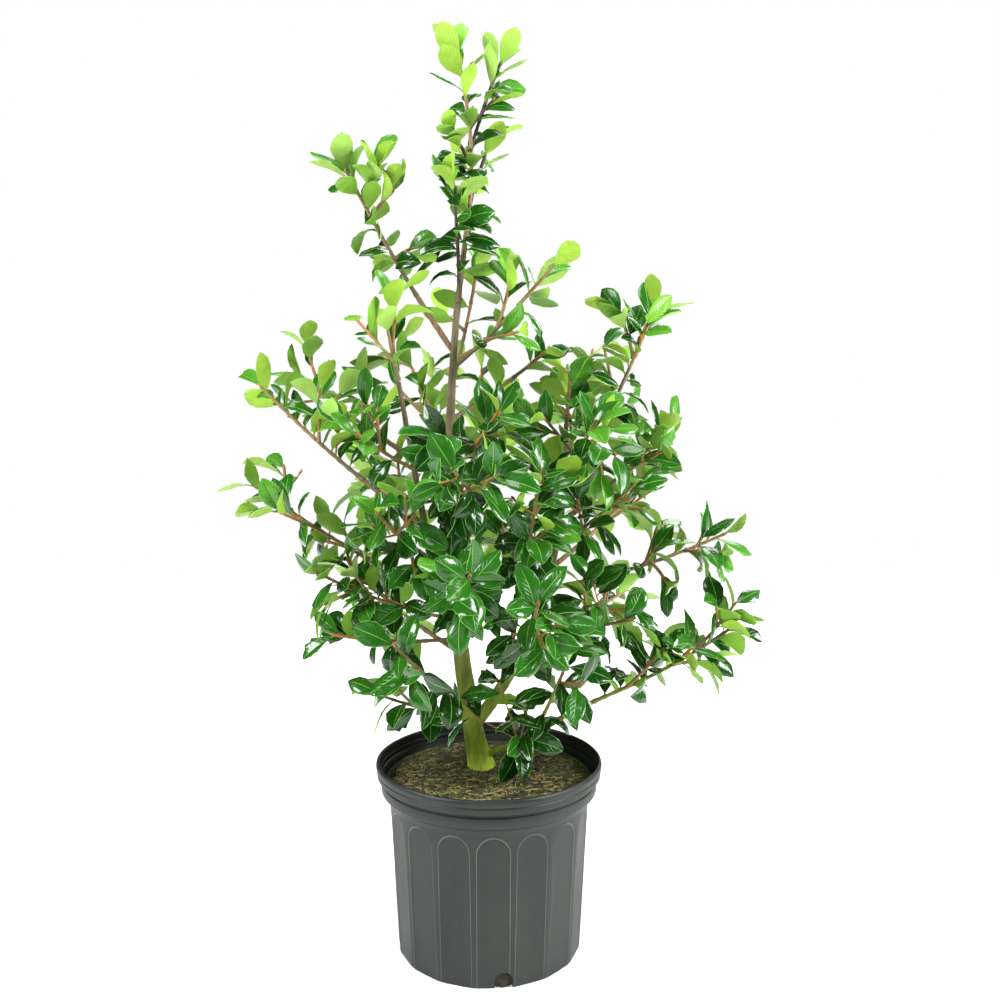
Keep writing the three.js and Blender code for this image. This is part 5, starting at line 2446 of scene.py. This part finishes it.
    def _chip(self) -> Shape:
        """Makes one flat uneven chip of bark.

        Returns:
            Its corners and faces.
        """
        stream = self.stream
        x, y = self._spot(self.chip_reach)
        turn = Matrix.Rotation(stream.draw() * 2 * math.pi, 3, "Z")
        tilt = Matrix.Rotation(stream.between(*self.chip_tilts), 3, "X")
        size = Vector(stream.between(*limits) for limits in self.chip_sizes)
        places = []
        for k in range(8):
            corner = Vector((k & 1, k >> 1 & 1, k >> 2)) * 2 - Vector((1, 1, 1))
            uneven = Vector(stream.between(*self.chip_uneven) for _ in range(3))
            spot = turn @ (tilt @ (corner * size * uneven))
            places.append(spot + Vector((x, y, self.level(x, y) + self.chip_lift)))
        quads = [(0, 2, 3, 1), (4, 5, 7, 6), (0, 1, 5, 4), (2, 6, 7, 3), (0, 4, 6, 2), (1, 3, 7, 5)]
        return np.array(places), quads

    def _tuft(self) -> Shape:
        """Makes one pointed tuft of moss, most of them in front of the trunk and to its right.

        Returns:
            Its corners and faces.
        """
        stream = self.stream
        turn = stream.draw() * 2 * math.pi
        radius = self.tuft_near + self.tuft_spread * stream.draw() ** self.tuft_crowding
        x = self.trunk_foot[0] + self.tuft_offset[0] + radius * math.cos(turn)
        y = self.trunk_foot[1] + self.tuft_offset[1] + radius * math.sin(turn)
        wide = stream.between(*self.tuft_widths)
        tall = stream.between(*self.tuft_heights)
        lean = np.array([stream.between(*self.tuft_leans), stream.between(*self.tuft_leans), tall])
        foot = np.array([x, y, self.level(x, y) - self.tuft_sunk])
        ring = [foot + wide * np.array([math.cos(k), math.sin(k), 0.0]) for k in self.tuft_turns]
        return np.array([*ring, foot + lean]), [(0, 2, 1), (0, 1, 3), (1, 2, 3), (2, 0, 3)]


# Studio


@dataclass(frozen=True)
class Lamp:
    """A soft square light: its name, its place, its side and its power."""

    name: str
    place: Place
    side: float
    power: float


@dataclass
class Studio:
    """The camera at the photograph's place, a pale floor and soft lights."""

    camera_place: Place = (0.0137, -1.386, 0.7496)
    camera_drop: float = 7.6
    lens: float = 41.69
    sensor: float = 36.0
    sight: float = 100.0
    floor_side: float = 4.6
    floor_drop: float = 0.0004
    lit_place: Place = (0.0, 0.0, 0.5)
    lamps: tuple[Lamp, ...] = (
        Lamp("key", (-2.0, -1.0, 1.9), 1.0, 100.0),
        Lamp("fill", (2.1, -0.8, 1.6), 1.0, 112.0),
        Lamp("top", (0.0, -0.2, 2.8), 1.2, 42.0),
        Lamp("back", (0.7, 2.0, 1.9), 1.4, 28.0),
        Lamp("front", (-0.5, -2.6, 1.4), 1.4, 7.0),
    )
    dome: float = 0.045
    backdrop: float = 1.0
    floor_finish: FloorFinish = FloorFinish("studio_floor", (0.9, 0.9, 0.9))

    def build(self) -> None:
        """Sets up the studio."""
        self._add_camera()
        self._add_floor()
        self._add_dome()
        for lamp in self.lamps:
            self._add_light(lamp)
        scene = bpy.context.scene
        scene.view_settings.view_transform = "Standard"
        scene.view_settings.look = "None"

    def _add_camera(self) -> None:
        """Adds the camera, for a square image."""
        camera = bpy.data.cameras.new("camera")
        camera.lens = self.lens
        camera.sensor_width = self.sensor
        camera.clip_end = self.sight
        holder = bpy.data.objects.new("camera", camera)
        holder.location = self.camera_place
        holder.rotation_euler = (math.radians(90 - self.camera_drop), 0, 0)
        bpy.context.scene.collection.objects.link(holder)
        bpy.context.scene.camera = holder

    def _add_floor(self) -> None:
        """Adds the floor under the pot."""
        deselect_all()
        bpy.ops.mesh.primitive_plane_add(size=self.floor_side, location=(0, 0, -self.floor_drop))
        floor = bpy.context.active_object
        floor.name = "studio_floor"
        settle(floor)
        dress(floor, [self.floor_finish.make()])

    def _add_dome(self) -> None:
        """Adds even light from all round, white where the camera sees it."""
        world = bpy.data.worlds.new("dome")
        world.use_nodes = True
        sheet = Sheet(world.node_tree)
        choice = sheet.node("ShaderNodeMixShader", "Choice")
        sheet.feed(choice.inputs[0], sheet.node("ShaderNodeLightPath").outputs["Is Camera Ray"])
        for i, strength in enumerate((self.dome, self.backdrop), 1):
            glow = sheet.node("ShaderNodeBackground", "Glow")
            sheet.feed(glow.inputs["Color"], (1.0, 1.0, 1.0))
            sheet.feed(glow.inputs["Strength"], strength)
            sheet.feed(choice.inputs[i], glow.outputs[0])
        sheet.feed(sheet.node("ShaderNodeOutputWorld").inputs["Surface"], choice.outputs[0])
        bpy.context.scene.world = world

    def _add_light(self, lamp: Lamp) -> None:
        """Adds a light that looks at the crown.

        Args:
            lamp: The light.
        """
        light = bpy.data.lights.new(lamp.name, "AREA")
        light.size = lamp.side
        light.energy = lamp.power
        holder = bpy.data.objects.new(lamp.name, light)
        holder.location = lamp.place
        ahead = Vector(self.lit_place) - Vector(lamp.place)
        holder.rotation_euler = ahead.to_track_quat("-Z", "Y").to_euler()
        bpy.context.scene.collection.objects.link(holder)


def main() -> None:
    logging.basicConfig(level=logging.INFO, format="%(name)s %(message)s")
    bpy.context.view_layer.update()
    Studio().build()
    shrub = Shrub()
    shrub.grow()
    leaves = sum(len(spray.leaves) for spray in shrub.sprays)
    shoots = sum(len(spray.wood) for spray in shrub.sprays)
    LOG.info("grown: %d shoots and twigs, %d leaves", shoots, leaves)
    Pot().build()
    PottingMix().build()
    Timber(shrub).build()
    Shoots(shrub).build()
    Foliage(shrub).build()
    deselect_all()


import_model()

if __name__ == "__main__":
    main()
